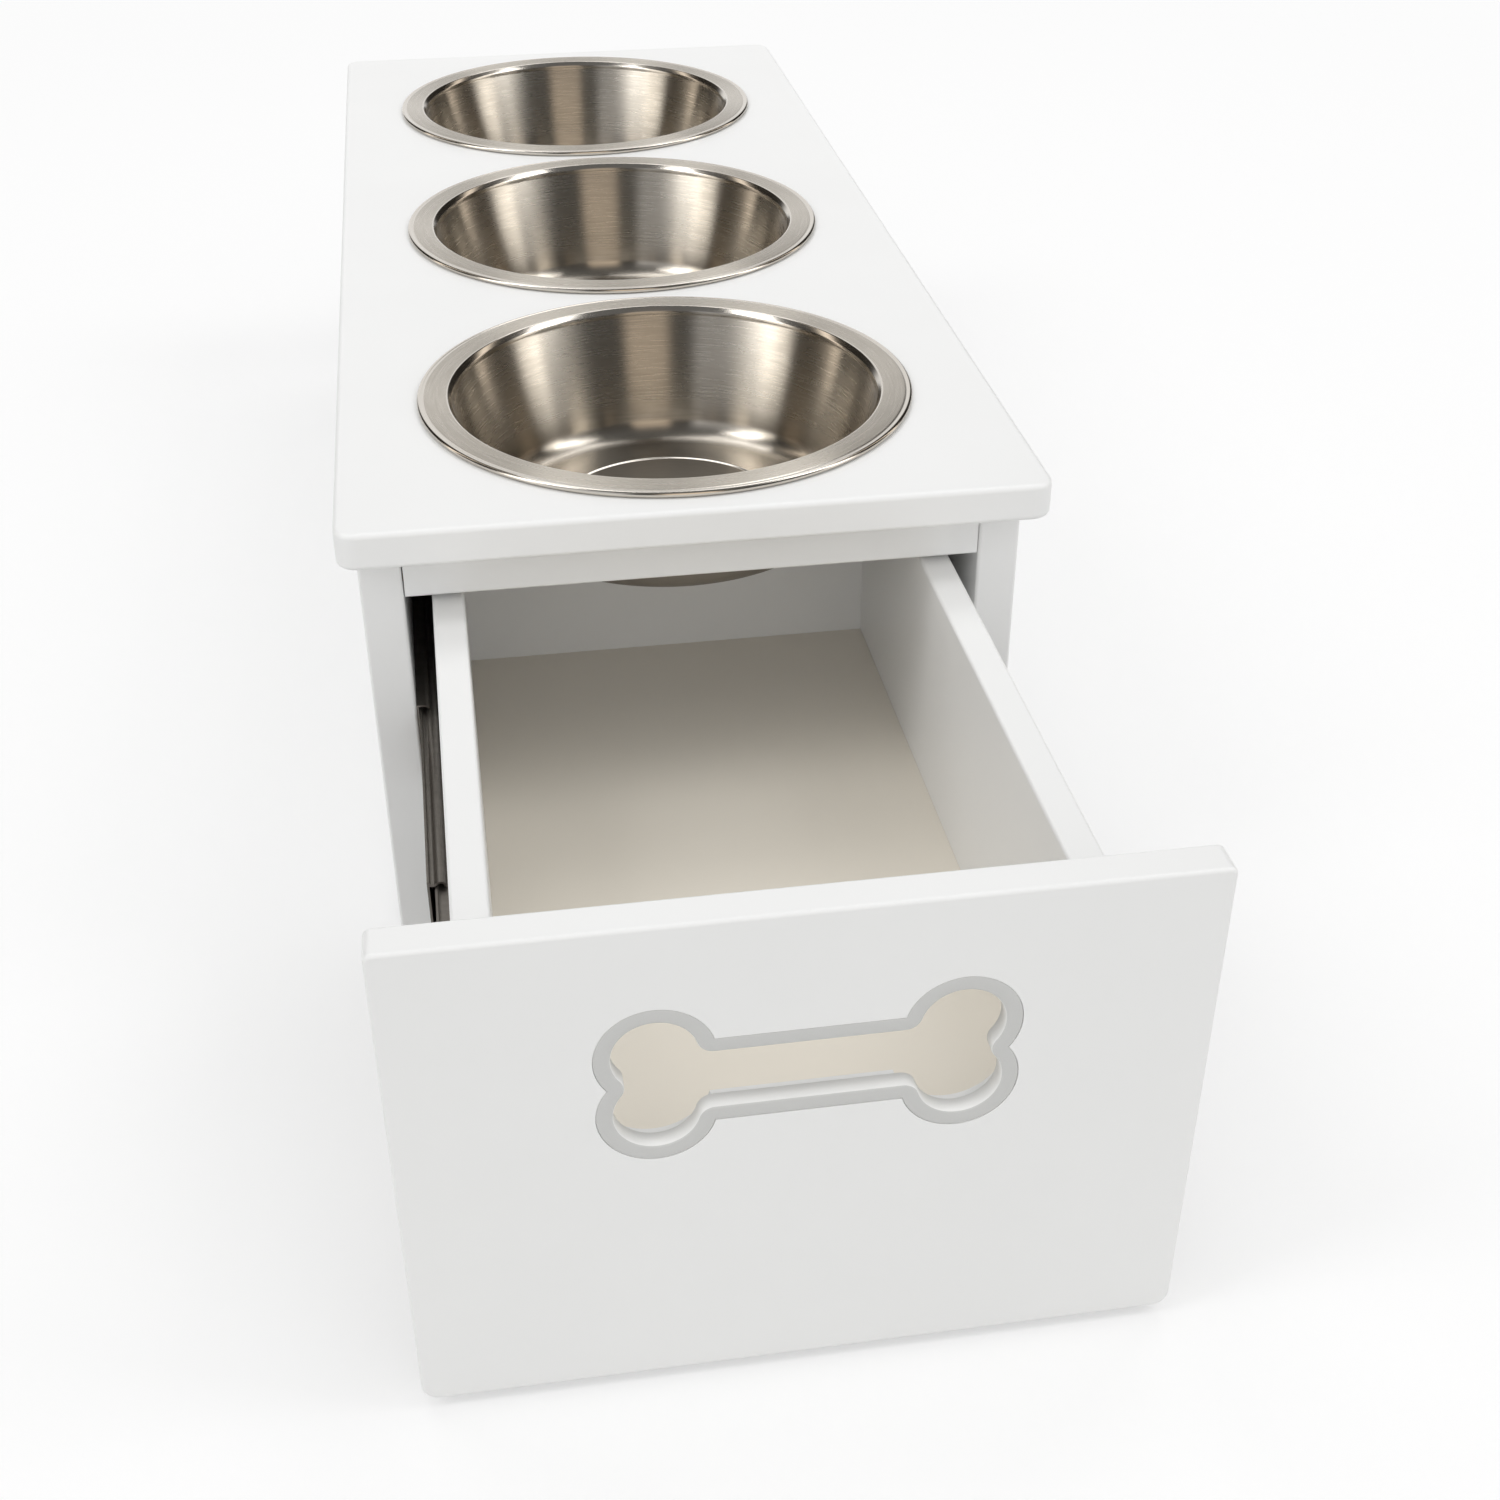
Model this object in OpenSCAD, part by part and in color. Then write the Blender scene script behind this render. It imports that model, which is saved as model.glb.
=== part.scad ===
// Raised feeder: a long top panel holds a row of drop-in bowls over a storage drawer.
// The drawer runs out of the short end on telescopic slides, and is shown part open.

/* [Top panel] */
// Distance from the bowls' rims to the top panel's side edges
top_side_margin = 40; // [36:1:48]
// Distance from the top panel's front edge to the first rim
top_front_margin = 13; // [11:0.5:20]
// Distance from the last rim to the top panel's back edge
top_back_margin = 27; // [14:1:60]
// Thickness of the top panel
top_t = 18; // [15:1:24]
// Radius of the top panel's corners in plan
top_corner_r = 10; // [5:1:20]
// Radius of the easing on the top panel's edges
top_ease = 2.5; // [1:0.5:4]

/* [Bowls] */
// Diameter over the bowl's rolled rim
bowl_rim_d = 250; // [220:1:280]
// Width of the flat rim, from the mouth to the rolled edge
bowl_rim_w = 16; // [15:1:18]
// Height of the rim over the top panel
bowl_rim_rise = 3; // [2.5:0.1:4]
// Depth of the bowl below the rim's upper face
bowl_depth = 70; // [60:1:74]
// Thickness of the bowl's sheet
bowl_wall = 1; // [0.8:0.1:1.2]
// Amount by which the bowl narrows from mouth to floor, on the radius
bowl_taper = 15; // [12:1:20]
// Inside radius between floor and wall
bowl_fillet_r = 14; // [10:1:18]
// Distance from the edge of the flat floor to the raised disc
bowl_disc_inset = 20; // [10:1:30]
// Height of the raised disc
bowl_disc_rise = 1.5; // [0.8:0.1:2.5]
// Radius of the bend from the bowl's neck into its wall
bowl_lip_r = 3; // [2:0.1:3.5]
// Radius of the tight bend at the rim's inner edge, on the sheet's underside
bowl_edge_bend = 0.2; // [0.1:0.1:0.6]
// Length of the sloping neck under the rim
bowl_neck_l = 2.2; // [1:0.1:3]
// Clearance of the bowl in its cut-out, on the radius
bowl_fit = 2; // [1:0.5:4]
// Gap between one bowl's rim and the next
bowl_gap = 13; // [8:0.5:30]

/* [Frame] */
// Height from the floor to the top panel's upper face
feeder_h = 251; // [249:1:256]
// Overhang of the top panel past the side panels
side_overhang = 7.5; // [4:0.5:12]
// Thickness of the side panels
side_t = 20; // [18:1:22]
// Overhang of the top panel past the back
back_overhang = 8; // [4:1:14]
// Thickness of the rails
rail_t = 18; // [15:1:20]
// Height of the rails under the top panel
top_rail_h = 30; // [26:1:32]
// Thickness left of the top rail where it is hollowed for the first bowl
rail_web = 3.5; // [2:0.5:8]
// Amount by which that hollow is smaller than the bowl's mouth, on the radius
scoop_step = 2.5; // [1:0.5:3]
// Height of the rail along the floor
bottom_rail_h = 26; // [22:1:34]
// Seam at each end of a rail
rail_seam = 0.6; // [0.4:0.1:1]
// Thickness of the back panel
back_t = 12; // [10:1:15]
// Thickness of the base panel
base_t = 9; // [6:1:10]
// Side of the square cleats under the base panel
cleat_w = 12; // [10:1:13]
// Radius of the easing on the frame's front edges
frame_ease = 1.5; // [0.5:0.5:3]
// Height of the floor glides
glide_h = 4; // [3:0.5:6]
// Diameter of the floor glides
glide_d = 18; // [14:1:18]

/* [Drawer] */
// Distance from the side panels' outer faces to the drawer front's ends
drawer_front_inset = 4; // [0.5:0.5:9]
// Gap between the drawer front and the top panel
drawer_head_gap = 2; // [1.5:0.5:6]
// Thickness of the drawer front
drawer_front_t = 16; // [15:1:18]
// Gap between the floor and the drawer front
drawer_floor_gap = 5; // [3:0.5:12]
// Radius of the drawer front's lower corners
drawer_corner_r = 7; // [4:1:12]
// Radius of the drawer front's upper corners
drawer_top_r = 3; // [2.5:0.5:6]
// Radius of the easing on the drawer front's edges
drawer_ease = 1.5; // [0.5:0.5:2]
// Length of the drawer sides behind the front
drawer_l = 427; // [415:1:480]
// Height of the drawer sides
drawer_side_h = 126; // [110:1:128]
// Thickness of the drawer sides
drawer_side_t = 15; // [12:1:16]
// Thickness of the drawer back
drawer_back_t = 15; // [12:1:18]
// Gap between the drawer back and the bowls
drawer_bowl_gap = 11.2; // [6:0.2:30]
// Thickness of the drawer floor
drawer_floor_t = 6; // [5:0.5:8]
// Height of the drawer floor's underside over the sides' lower edge
drawer_floor_lift = 10; // [8:1:14]
// Depth of the grooves that hold the drawer floor
groove_depth = 6; // [4:0.5:8]
// Clearance of the drawer floor in its grooves
groove_fit = 0.2; // [0.1:0.1:0.4]
// Gap between the top rail and the drawer sides
drawer_top_gap = 3; // [2:0.5:5]
// Distance that the drawer is open
drawer_open = 280; // [240:1:300]

/* [Bone grip] */
// Distance from the grip's middle to the middle of its lobes, along the bone
bone_reach = 56.5; // [50:0.5:66]
// Distance from the grip's middle line to the middle of its lobes
bone_spread = 13.5; // [11:0.5:16]
// Radius of the lobes
bone_lobe_r = 22.4; // [19:0.2:26]
// Height of the bone's shaft
bone_shaft_h = 39.4; // [36:0.2:42]
// Distance from the drawer front's upper edge down to the grip's middle
bone_drop = 72.5; // [60:0.5:110]
// Width of the trim round the grip hole
trim_w = 6.5; // [4:0.5:8]
// Depth of the trim
trim_t = 7; // [4:0.5:10]
// Clearance of the trim in the drawer front
trim_fit = 0.1; // [0.05:0.05:0.2]

/* [Slides] */
// Distance from the slides' rear ends to the drawer's rear end
slide_tail = 23; // [15:1:40]
// Height of a slide
slide_h = 45; // [42:1:48]
// Gap between a slide's middle member and its drawer member
slide_clear = 2.02; // [1:0.02:3]
// Thickness of the slide's steel
slide_steel = 1; // [0.8:0.1:1.1]
// Diameter of the bearing balls
ball_d = 3; // [2.8:0.1:3.2]
// Running clearance round the balls
ball_fit = 0.05; // [0.03:0.01:0.1]
// Distance from the frame's front to the slides
slide_setback = 2; // [1:0.5:4]
// Height of the slide's middle over the drawer side's lower edge
slide_rise = 46; // [40:1:56]
// Length of the ball strips
strip_l = 160; // [120:1:180]
// Distance from one ball to the next
ball_pitch = 16; // [14:1:20]

/* [Fasteners] */
// Diameter of the dowels
dowel_d = 6; // [5:1:6]
// Length of the dowels
dowel_l = 30; // [24:1:30]
// Depth of a dowel in the board that it stands on
dowel_bite = 12; // [9:1:12]
// Thickness left of the drawer front before its dowels
dowel_skin = 6; // [4:0.5:8]
// Diameter of the screws
screw_d = 3.6; // [3:0.1:4]
// Length of the screws
screw_l = 13; // [10:0.5:14]
// Length of the base panel's screws
base_screw_l = 19; // [16:0.5:20]
// Diameter of the screw heads
screw_head_d = 7; // [6:0.1:8]
// Height of the screw heads
screw_head_h = 2; // [1.6:0.1:2.6]
// Length of the legs of the top panel's angle brackets
bracket_leg = 20; // [16:1:20]
// Width of the angle brackets
bracket_w = 16; // [14:1:20]
// Thickness of the angle brackets
bracket_t = 2; // [1.5:0.1:2.5]
// Diameter of the drawer's bumpers
bumper_d = 9; // [6:0.5:12]
// Thickness of the drawer's bumpers
bumper_t = 1.5; // [1:0.1:2.5]

/* [Hidden] */
$fn = 96;

// Overrun of every cut
over = 1;
// Gap between pieces that only lie on each other
seat_gap = 0.2;
// Clearance round dowels and screws in their bores
bore_fit = 0.05;
// Gap that the bumpers leave when the drawer is shut
bumper_gap = 0.5;

// Bowls and top panel
bowl_rim_r = bowl_rim_d / 2;
bowl_mouth_r = bowl_rim_r - bowl_rim_w;
bowl_floor_r = bowl_mouth_r - bowl_taper - bowl_fillet_r;
bowl_disc_r = bowl_floor_r - bowl_disc_inset;
bowl_pitch = bowl_rim_d + bowl_gap;
bowl_top_z = feeder_h + seat_gap + bowl_rim_rise;
bowl_floor_z = bowl_top_z - bowl_depth;
cutout_r = bowl_mouth_r + bowl_wall + bowl_fit;
scoop_r = bowl_mouth_r - scoop_step;
bead_r = bowl_rim_rise / 2;
// The neck slopes down from the rim's tight bend to the wall's softer one
neck_slope = 50;
neck_face = [-sin(neck_slope), cos(neck_slope)];
neck_way = [cos(neck_slope), sin(neck_slope)];
edge_r = bowl_wall + bowl_edge_bend;
edge_centre = [bowl_mouth_r + edge_r, bowl_top_z - edge_r];
neck_top = edge_centre + edge_r * neck_face;
neck_foot = neck_top - bowl_neck_l * neck_way;
// Lap of the neck and the flat rim over the bends that they run into
bend_lap = 0.01;
lip_centre = neck_foot - bowl_lip_r * neck_face;
fillet_centre = [bowl_floor_r, bowl_floor_z + bowl_fillet_r];
// Lean of the wall, from the line that touches both the lip and the fillet
wall_run = lip_centre - fillet_centre;
wall_lean = atan2(wall_run[0], wall_run[1])
    - asin((bowl_lip_r + bowl_fillet_r) / norm(wall_run));
top_w = bowl_rim_d + 2 * top_side_margin;
top_l = top_front_margin + bowl_rim_d + 2 * bowl_pitch + top_back_margin;
front_overhang = top_front_margin + bowl_rim_r - scoop_r - rail_web;

// Heights
top_under_z = feeder_h - top_t;
frame_h = top_under_z - glide_h;
top_rail_z = top_under_z - top_rail_h;
drawer_side_top = top_rail_z - drawer_top_gap;
drawer_side_z = drawer_side_top - drawer_side_h;
drawer_floor_z = drawer_side_z + drawer_floor_lift;
drawer_floor_top = drawer_floor_z + drawer_floor_t;
drawer_back_top = bowl_floor_z - bowl_wall - drawer_bowl_gap;
drawer_front_top = top_under_z - drawer_head_gap;
drawer_front_h = drawer_front_top - drawer_floor_gap;
slide_z = drawer_side_z + slide_rise;
base_z = glide_h + cleat_w;

// Places along the length, with the whole part centred on the origin
closed_gap = bumper_t + bumper_gap;
drawer_reach = drawer_open - front_overhang + closed_gap + drawer_front_t;
overall_l = drawer_reach + top_l;
top_front_y = drawer_reach - overall_l / 2;
top_back_y = overall_l / 2;
frame_front_y = top_front_y + front_overhang;
frame_back_y = top_back_y - back_overhang;
back_panel_y = frame_back_y - back_t;
drawer_y = drawer_front_t - overall_l / 2;
drawer_back_y = drawer_y + drawer_l - drawer_back_t;
drawer_end_y = drawer_y + drawer_l;
first_bowl_y = top_front_y + top_front_margin + bowl_rim_r;
bowl_ys = [for (k = [0:2]) first_bowl_y + k * bowl_pitch];

// Slides, across one slide from the side panel's face and up from its middle
channel_r = ball_d / 2 + ball_fit;
shell_r = channel_r + slide_steel;
mid_r = channel_r + slide_steel / 2;
member_gap = 0.3;
// Direction from an outer ball to the inner ball beside it
ball_step_shares = [0.8, -0.6];
step_angle = atan2(-ball_step_shares[1], ball_step_shares[0]);
hook_end = 10;
lip_end = -15;
lip_start = 190;
middle_web_u = slide_steel + member_gap;
outer_ball = [middle_web_u + slide_steel / 2 + mid_r, slide_h / 2 - shell_r];
inner_ball = outer_ball + 2 * mid_r * ball_step_shares;
drawer_web_u = inner_ball[0] + shell_r + slide_clear;
slide_space = drawer_web_u + slide_steel;
slide_l = drawer_l - closed_gap - slide_setback - slide_tail;
slide_y = frame_front_y + slide_setback;
middle_y = slide_y - drawer_open / 2;
drawer_member_y = slide_y - drawer_open;
outer_strip_y = slide_y + slide_l / 2 - drawer_open / 4;
inner_strip_y = slide_y + slide_l / 2 - drawer_open * 3 / 4;
strip_t = 0.5;
// Share of the ball channel that the strip's width takes
strip_share = 0.9;
strip_w = 2 * channel_r * strip_share;
ball_count = floor((strip_l - ball_d) / ball_pitch);
slide_screw_shares = [0.1, 0.45, 0.9];

// Widths
frame_w = top_w - 2 * side_overhang;
inner_w = frame_w - 2 * side_t;
rail_l = inner_w - 2 * rail_seam;
box_w = inner_w - 2 * slide_space;
box_inner_w = box_w - 2 * drawer_side_t;
floor_w = box_inner_w + 2 * (groove_depth - groove_fit);
drawer_front_w = frame_w - 2 * drawer_front_inset;

// Fasteners
dowel_chamfer = 0.8;
screw_tip = 3;
bracket_share = 0.5;
bracket_ys = [
    frame_front_y + rail_t + bracket_w,
    (bowl_ys[0] + bowl_ys[1]) / 2,
    (bowl_ys[1] + bowl_ys[2]) / 2,
    back_panel_y - bracket_w
];
glide_inset = 30;
glide_pin_d = 2.6;
glide_pin_l = 14;
glide_ease = 1;
glide_ys = [
    frame_front_y + glide_inset,
    (frame_front_y + frame_back_y) / 2,
    frame_back_y - glide_inset
];
cleat_screw_inset = 60;
bumper_inset = 22;
floor_screw_inset = 30;

// Shapes that several pieces share

// Extrudes a profile drawn in X and Z along Y
module along_y(from_y, to_y) {
    translate([0, to_y, 0]) rotate([90, 0, 0]) linear_extrude(to_y - from_y) children();
}

// Extrudes a profile drawn in Y and Z along X
module along_x(from_x, to_x) {
    translate([from_x, 0, 0]) rotate([90, 0, 90]) linear_extrude(to_x - from_x) children();
}

// Board given by its two opposite corners
module board(low, high) {
    translate(low) cube(high - low);
}

// Section through a board's edge, with both corners eased
module edge_section(r, t, ease) {
    intersection() {
        union() {
            square([r - ease, t]);
            translate([0, ease]) square([r, t - 2 * ease]);
            for (z = [ease, t - ease]) translate([r - ease, z]) circle(ease);
        }
        square([r, t]);
    }
}

// Strip along the end of a board, with its rounded corners
module board_end(corner_x, t, r, ease) {
    translate([-corner_x, 0, 0]) rotate([90, 0, 90])
        linear_extrude(2 * corner_x) edge_section(r, t, ease);
    for (side = [0, 1]) mirror([side, 0, 0]) translate([corner_x, 0, 0])
        rotate_extrude(angle = 90) edge_section(r, t, ease);
}

// Board lying flat, with rounded corners and eased edges
module eased_board(w, l, t, near_r, far_r, ease) {
    mid_l = l - near_r - far_r;
    near_x = w / 2 - near_r;
    translate([0, l / 2 - far_r, 0]) {
        translate([-near_x, -mid_l, 0]) cube([2 * near_x, mid_l, t]);
        for (side = [0, 1]) mirror([side, 0, 0]) translate([near_x, 0, 0])
            rotate([90, 0, 0]) linear_extrude(mid_l) edge_section(near_r, t, ease);
        board_end(w / 2 - far_r, t, far_r, ease);
        translate([0, -mid_l, 0]) mirror([0, 1, 0]) board_end(near_x, t, near_r, ease);
    }
}

// Part of a ring between two angles
module ring_part(inner_r, t, from_a, to_a) {
    reach = 3 * (inner_r + t);
    turn = to_a - from_a;
    intersection() {
        difference() {
            circle(inner_r + t);
            circle(inner_r);
        }
        polygon([
            [0, 0],
            for (k = [0:4]) reach * [cos(from_a + turn * k / 4), sin(from_a + turn * k / 4)]
        ]);
    }
}

// Straight round bore or pin along X, starting at a point
module round_x(start, length, r) {
    translate(start) rotate([0, 90, 0]) cylinder(r = r, h = length);
}

// Dowel along Z with chamfered ends, standing from its lower end
module dowel(length) {
    r = dowel_d / 2;
    rotate_extrude() polygon([
        [0, 0], [r - dowel_chamfer, 0], [r, dowel_chamfer],
        [r, length - dowel_chamfer], [r - dowel_chamfer, length], [0, length]
    ]);
}

// Bore for a dowel, grown by the clearance all round
module dowel_bore(length) {
    translate([0, 0, -bore_fit]) cylinder(d = dowel_d + 2 * bore_fit, h = length + 2 * bore_fit);
}

// Countersunk screw along Z, with its head's face at the origin
module screw(length = screw_l, grow = 0) {
    r = screw_d / 2 + grow;
    head_r = screw_head_d / 2 + grow;
    rotate_extrude() polygon([
        [0, 0], [head_r, 0], [r, screw_head_h],
        [r, length - screw_tip + grow], [0, length + 2 * grow]
    ]);
}

// Screw hole with its countersink
module screw_bore(length = screw_l) {
    screw(length, bore_fit);
    translate([0, 0, -over]) cylinder(r = screw_head_d / 2 + bore_fit, h = over);
}

// Bowl

// Filled section of the bowl, grown outwards by a wall
module bowl_fill(grow) {
    fillet_out = fillet_centre
        + (bowl_fillet_r + grow) * [cos(wall_lean), -sin(wall_lean)];
    // The outside runs on into the lip, as high as the place where the inside meets it
    lip_in = lip_centre
        + (bowl_lip_r - grow) * [-cos(wall_lean), sin(wall_lean)]
        + grow * sin(wall_lean) * [tan(wall_lean), 1];
    // The raised disc has a sloping edge, and its sheet the same thickness all over
    disc_foot = [bowl_disc_r - grow * tan(45 / 2), bowl_floor_z - grow];
    difference() {
        union() {
            polygon([
                [0, fillet_centre[1]], fillet_centre, fillet_out, lip_in,
                [0, lip_in[1]]
            ]);
            translate([0, bowl_floor_z - grow])
                square([bowl_floor_r, bowl_fillet_r + grow]);
            translate(fillet_centre) circle(bowl_fillet_r + grow);
        }
        polygon([
            [0, disc_foot[1] - over], disc_foot + [over, -over],
            disc_foot + [-bowl_disc_rise, bowl_disc_rise], [0, disc_foot[1] + bowl_disc_rise]
        ]);
    }
}

// Section of the bowl's sheet, in radius and height
module bowl_section() {
    difference() {
        bowl_fill(bowl_wall);
        bowl_fill(0);
        translate([0, lip_centre[1] + bowl_lip_r * sin(wall_lean)])
            square([lip_centre[0] - bowl_lip_r * cos(wall_lean), over]);
    }
    translate(lip_centre)
        ring_part(bowl_lip_r - bowl_wall, bowl_wall, 90 + neck_slope, 180 - wall_lean);
    neck_start = neck_top + bend_lap * neck_way;
    neck_end = neck_foot - bend_lap * neck_way;
    polygon([
        neck_start, neck_end,
        neck_end - bowl_wall * neck_face, neck_start - bowl_wall * neck_face
    ]);
    translate(edge_centre)
        ring_part(bowl_edge_bend, bowl_wall, 90, 90 + neck_slope);
    translate([edge_centre[0] - bend_lap, bowl_top_z - bowl_wall])
        square([bowl_rim_r - bead_r - edge_centre[0] + bend_lap, bowl_wall]);
    translate([bowl_rim_r - bead_r, bowl_top_z - bead_r]) circle(bead_r);
}

module bowl_at(y) {
    color("#b7ab9c") translate([0, y, 0]) rotate_extrude() bowl_section();
}

module bowl_front() bowl_at(bowl_ys[0]);
module bowl_middle() bowl_at(bowl_ys[1]);
module bowl_rear() bowl_at(bowl_ys[2]);

// Frame

module top_panel() {
    color("#f1f1f0") difference() {
        translate([0, (top_front_y + top_back_y) / 2, top_under_z])
            eased_board(top_w, top_l, top_t, top_corner_r, top_corner_r, top_ease);
        for (y = bowl_ys)
            translate([0, y, top_under_z - over]) cylinder(r = cutout_r, h = top_t + 2 * over);
        bracket_screw_places(true) screw_bore();
    }
}

// Plan of the left side panel, eased along its front edge
module side_plan() {
    x = -frame_w / 2;
    translate([x, frame_front_y + frame_ease])
        square([side_t, frame_back_y - frame_front_y - frame_ease]);
    translate([x + frame_ease, frame_front_y]) square([side_t - 2 * frame_ease, frame_ease]);
    for (u = [frame_ease, side_t - frame_ease])
        translate([x + u, frame_front_y + frame_ease]) circle(frame_ease);
}

module side_panel() {
    difference() {
        translate([0, 0, glide_h]) linear_extrude(frame_h) side_plan();
        frame_dowel_places() dowel_bore(dowel_l);
        bracket_screw_places(false) screw_bore();
        slide_screw_places(slide_y, -inner_w / 2 + slide_steel, -1) screw_bore();
        glide_places() translate([0, 0, -over])
            cylinder(r = glide_pin_d / 2 + bore_fit, h = glide_pin_l + bore_fit + over);
    }
}

module side_panel_left() color("#eeeeec") side_panel();
module side_panel_right() color("#eeeeec") mirror([1, 0, 0]) side_panel();

module back_panel() {
    color("#eaeae8") difference() {
        board([-inner_w / 2, back_panel_y, glide_h], [inner_w / 2, frame_back_y, top_under_z]);
        both_sides() frame_dowel_places() dowel_bore(dowel_l);
    }
}

// Profile of a rail, with its front lower edge eased
module rail_profile(y, z, h) {
    translate([y + frame_ease, z]) square([rail_t - frame_ease, h]);
    translate([y, z + frame_ease]) square([frame_ease, h - frame_ease]);
    translate([y + frame_ease, z + frame_ease]) circle(frame_ease);
}

module rail(y, z, h) {
    difference() {
        along_x(-rail_l / 2, rail_l / 2) rail_profile(y, z, h);
        both_sides() frame_dowel_places() dowel_bore(dowel_l);
    }
}

// The upper rail is hollowed behind, so that it clears the first bowl
module front_top_rail() {
    color("#e6e6e4") difference() {
        rail(frame_front_y, top_rail_z, top_rail_h);
        translate([0, bowl_ys[0], top_rail_z - over])
            cylinder(r = scoop_r, h = top_rail_h + 2 * over);
    }
}

// The lower rail has its eased edge on top
module front_bottom_rail() {
    color("#e6e6e4") difference() {
        translate([0, 0, 2 * glide_h + bottom_rail_h]) mirror([0, 0, 1])
            along_x(-rail_l / 2, rail_l / 2) rail_profile(frame_front_y, glide_h, bottom_rail_h);
        both_sides() frame_dowel_places() dowel_bore(dowel_l);
    }
}

base_low = [-inner_w / 2, frame_front_y + rail_t, base_z];
base_high = [inner_w / 2, back_panel_y, base_z + base_t];
module base_panel() {
    color("#d8d6d0") difference() {
        board(base_low, base_high);
        both_sides() base_screw_places() screw_bore(base_screw_l);
    }
}

module base_cleats() {
    color("#d8c8a8") both_sides() difference() {
        board([-inner_w / 2, base_low[1], glide_h], [cleat_w - inner_w / 2, base_high[1], base_z]);
        base_screw_places() screw_bore(base_screw_l);
    }
}

module base_screw_places() {
    for (y = [base_low[1] + cleat_screw_inset, (base_low[1] + base_high[1]) / 2,
        base_high[1] - cleat_screw_inset])
        translate([(cleat_w - inner_w) / 2, y, base_z + base_t]) rotate([180, 0, 0]) children();
}

module base_screws() color("#8d8f90") both_sides() base_screw_places() screw(base_screw_l);

// Copies the left side's pieces to the right
module both_sides() {
    children();
    mirror([1, 0, 0]) children();
}

// Heights of two dowels in a rail of a given height
function dowel_zs(z, h) = [z + h / 4, z + h * 3 / 4];

// Left ends of every dowel between a side panel and the rails or the back panel
module frame_dowel_places() {
    x = -inner_w / 2 - dowel_bite;
    rail_mid = rail_t / 2;
    places = [
        for (z = dowel_zs(top_rail_z, top_rail_h)) [frame_front_y + rail_mid, z],
        for (z = dowel_zs(glide_h, bottom_rail_h)) [frame_front_y + rail_mid, z],
        for (z = dowel_zs(glide_h, frame_h)) [back_panel_y + back_t / 2, z]
    ];
    for (p = places) translate([x, p[0], p[1]]) rotate([0, 90, 0]) children();
}

module frame_dowels() color("#d9b98a") both_sides() frame_dowel_places() dowel(dowel_l);

// Angle brackets under the top panel

module bracket_places() {
    for (y = bracket_ys) translate([-inner_w / 2, y, top_under_z]) children();
}

// Screws up into the top panel, or sideways into the side panel
module bracket_screw_places(upwards) {
    mid = bracket_leg * bracket_share + bracket_t / 2;
    if (upwards) both_sides() bracket_places()
        translate([mid, 0, -bracket_t]) children();
    else bracket_places()
        translate([bracket_t, 0, -mid]) rotate([0, -90, 0]) children();
}

module top_brackets() {
    color("#b9bbbc") both_sides() bracket_places() difference() {
        translate([0, bracket_w / 2, 0]) rotate([90, 0, 0]) linear_extrude(bracket_w) {
            translate([0, -bracket_t]) square([bracket_leg, bracket_t]);
            translate([0, -bracket_leg]) square([bracket_t, bracket_leg]);
        }
        mid = bracket_leg * bracket_share + bracket_t / 2;
        translate([mid, 0, -bracket_t]) screw_bore();
        translate([bracket_t, 0, -mid]) rotate([0, -90, 0]) screw_bore();
    }
}

module bracket_screws() {
    color("#8d8f90") {
        bracket_screw_places(true) screw();
        both_sides() bracket_screw_places(false) screw();
    }
}

// Floor glides

module glide_places() {
    for (y = glide_ys) translate([(side_t - frame_w) / 2, y, glide_h]) children();
}

module glide() {
    r = glide_d / 2;
    rotate_extrude() {
        translate([0, -glide_h]) square([r - glide_ease, glide_h]);
        translate([0, glide_ease - glide_h]) square([r, glide_h - glide_ease]);
        translate([r - glide_ease, glide_ease - glide_h]) circle(glide_ease);
    }
    cylinder(d = glide_pin_d, h = glide_pin_l);
}

module floor_glides() color("#4a4a4c") both_sides() glide_places() glide();

// Slides, drawn for the left side from the side panel's face towards the middle

module slide_section_at() {
    translate([-inner_w / 2, slide_z]) children();
}

// Upper and lower half of a section
module both_halves() {
    children();
    mirror([0, 1]) children();
}

module frame_member_section() {
    translate([0, -slide_h / 2]) square([slide_steel, slide_h]);
    both_halves() {
        translate([0, slide_h / 2 - slide_steel]) square([outer_ball[0], slide_steel]);
        translate(outer_ball) ring_part(channel_r, slide_steel, hook_end, 90);
    }
}

module middle_member_section() {
    translate([middle_web_u, -outer_ball[1]]) square([slide_steel, 2 * outer_ball[1]]);
    both_halves() {
        translate(outer_ball) ring_part(channel_r, slide_steel, 180, 360 - step_angle);
        translate(inner_ball) ring_part(channel_r, slide_steel, lip_end, 180 - step_angle);
    }
}

module drawer_member_section() {
    flange_z = inner_ball[1] - shell_r;
    translate([drawer_web_u, -flange_z - slide_steel])
        square([slide_steel, 2 * (flange_z + slide_steel)]);
    both_halves() {
        translate([inner_ball[0], flange_z])
            square([drawer_web_u + slide_steel / 2 - inner_ball[0], slide_steel]);
        translate(inner_ball) ring_part(channel_r, slide_steel, lip_start, 270);
    }
}

module slide_member(y) {
    along_y(y, y + slide_l) slide_section_at() children();
}

// Screws of a slide member, their heads towards or away from the middle
module slide_screw_places(y, x, way) {
    for (share = slide_screw_shares)
        translate([x, y + slide_l * share, slide_z]) rotate([0, 90 * way, 0]) children();
}

module slide_frame_member() {
    difference() {
        slide_member(slide_y) frame_member_section();
        slide_screw_places(slide_y, -inner_w / 2 + slide_steel, -1) screw_bore();
    }
}

module slide_frame_member_left() color("#8e8d8a") slide_frame_member();
module slide_frame_member_right() color("#8e8d8a") mirror([1, 0, 0]) slide_frame_member();

module frame_slide_screws() {
    color("#8d8f90") both_sides()
        slide_screw_places(slide_y, -inner_w / 2 + slide_steel, -1) screw();
}

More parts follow.
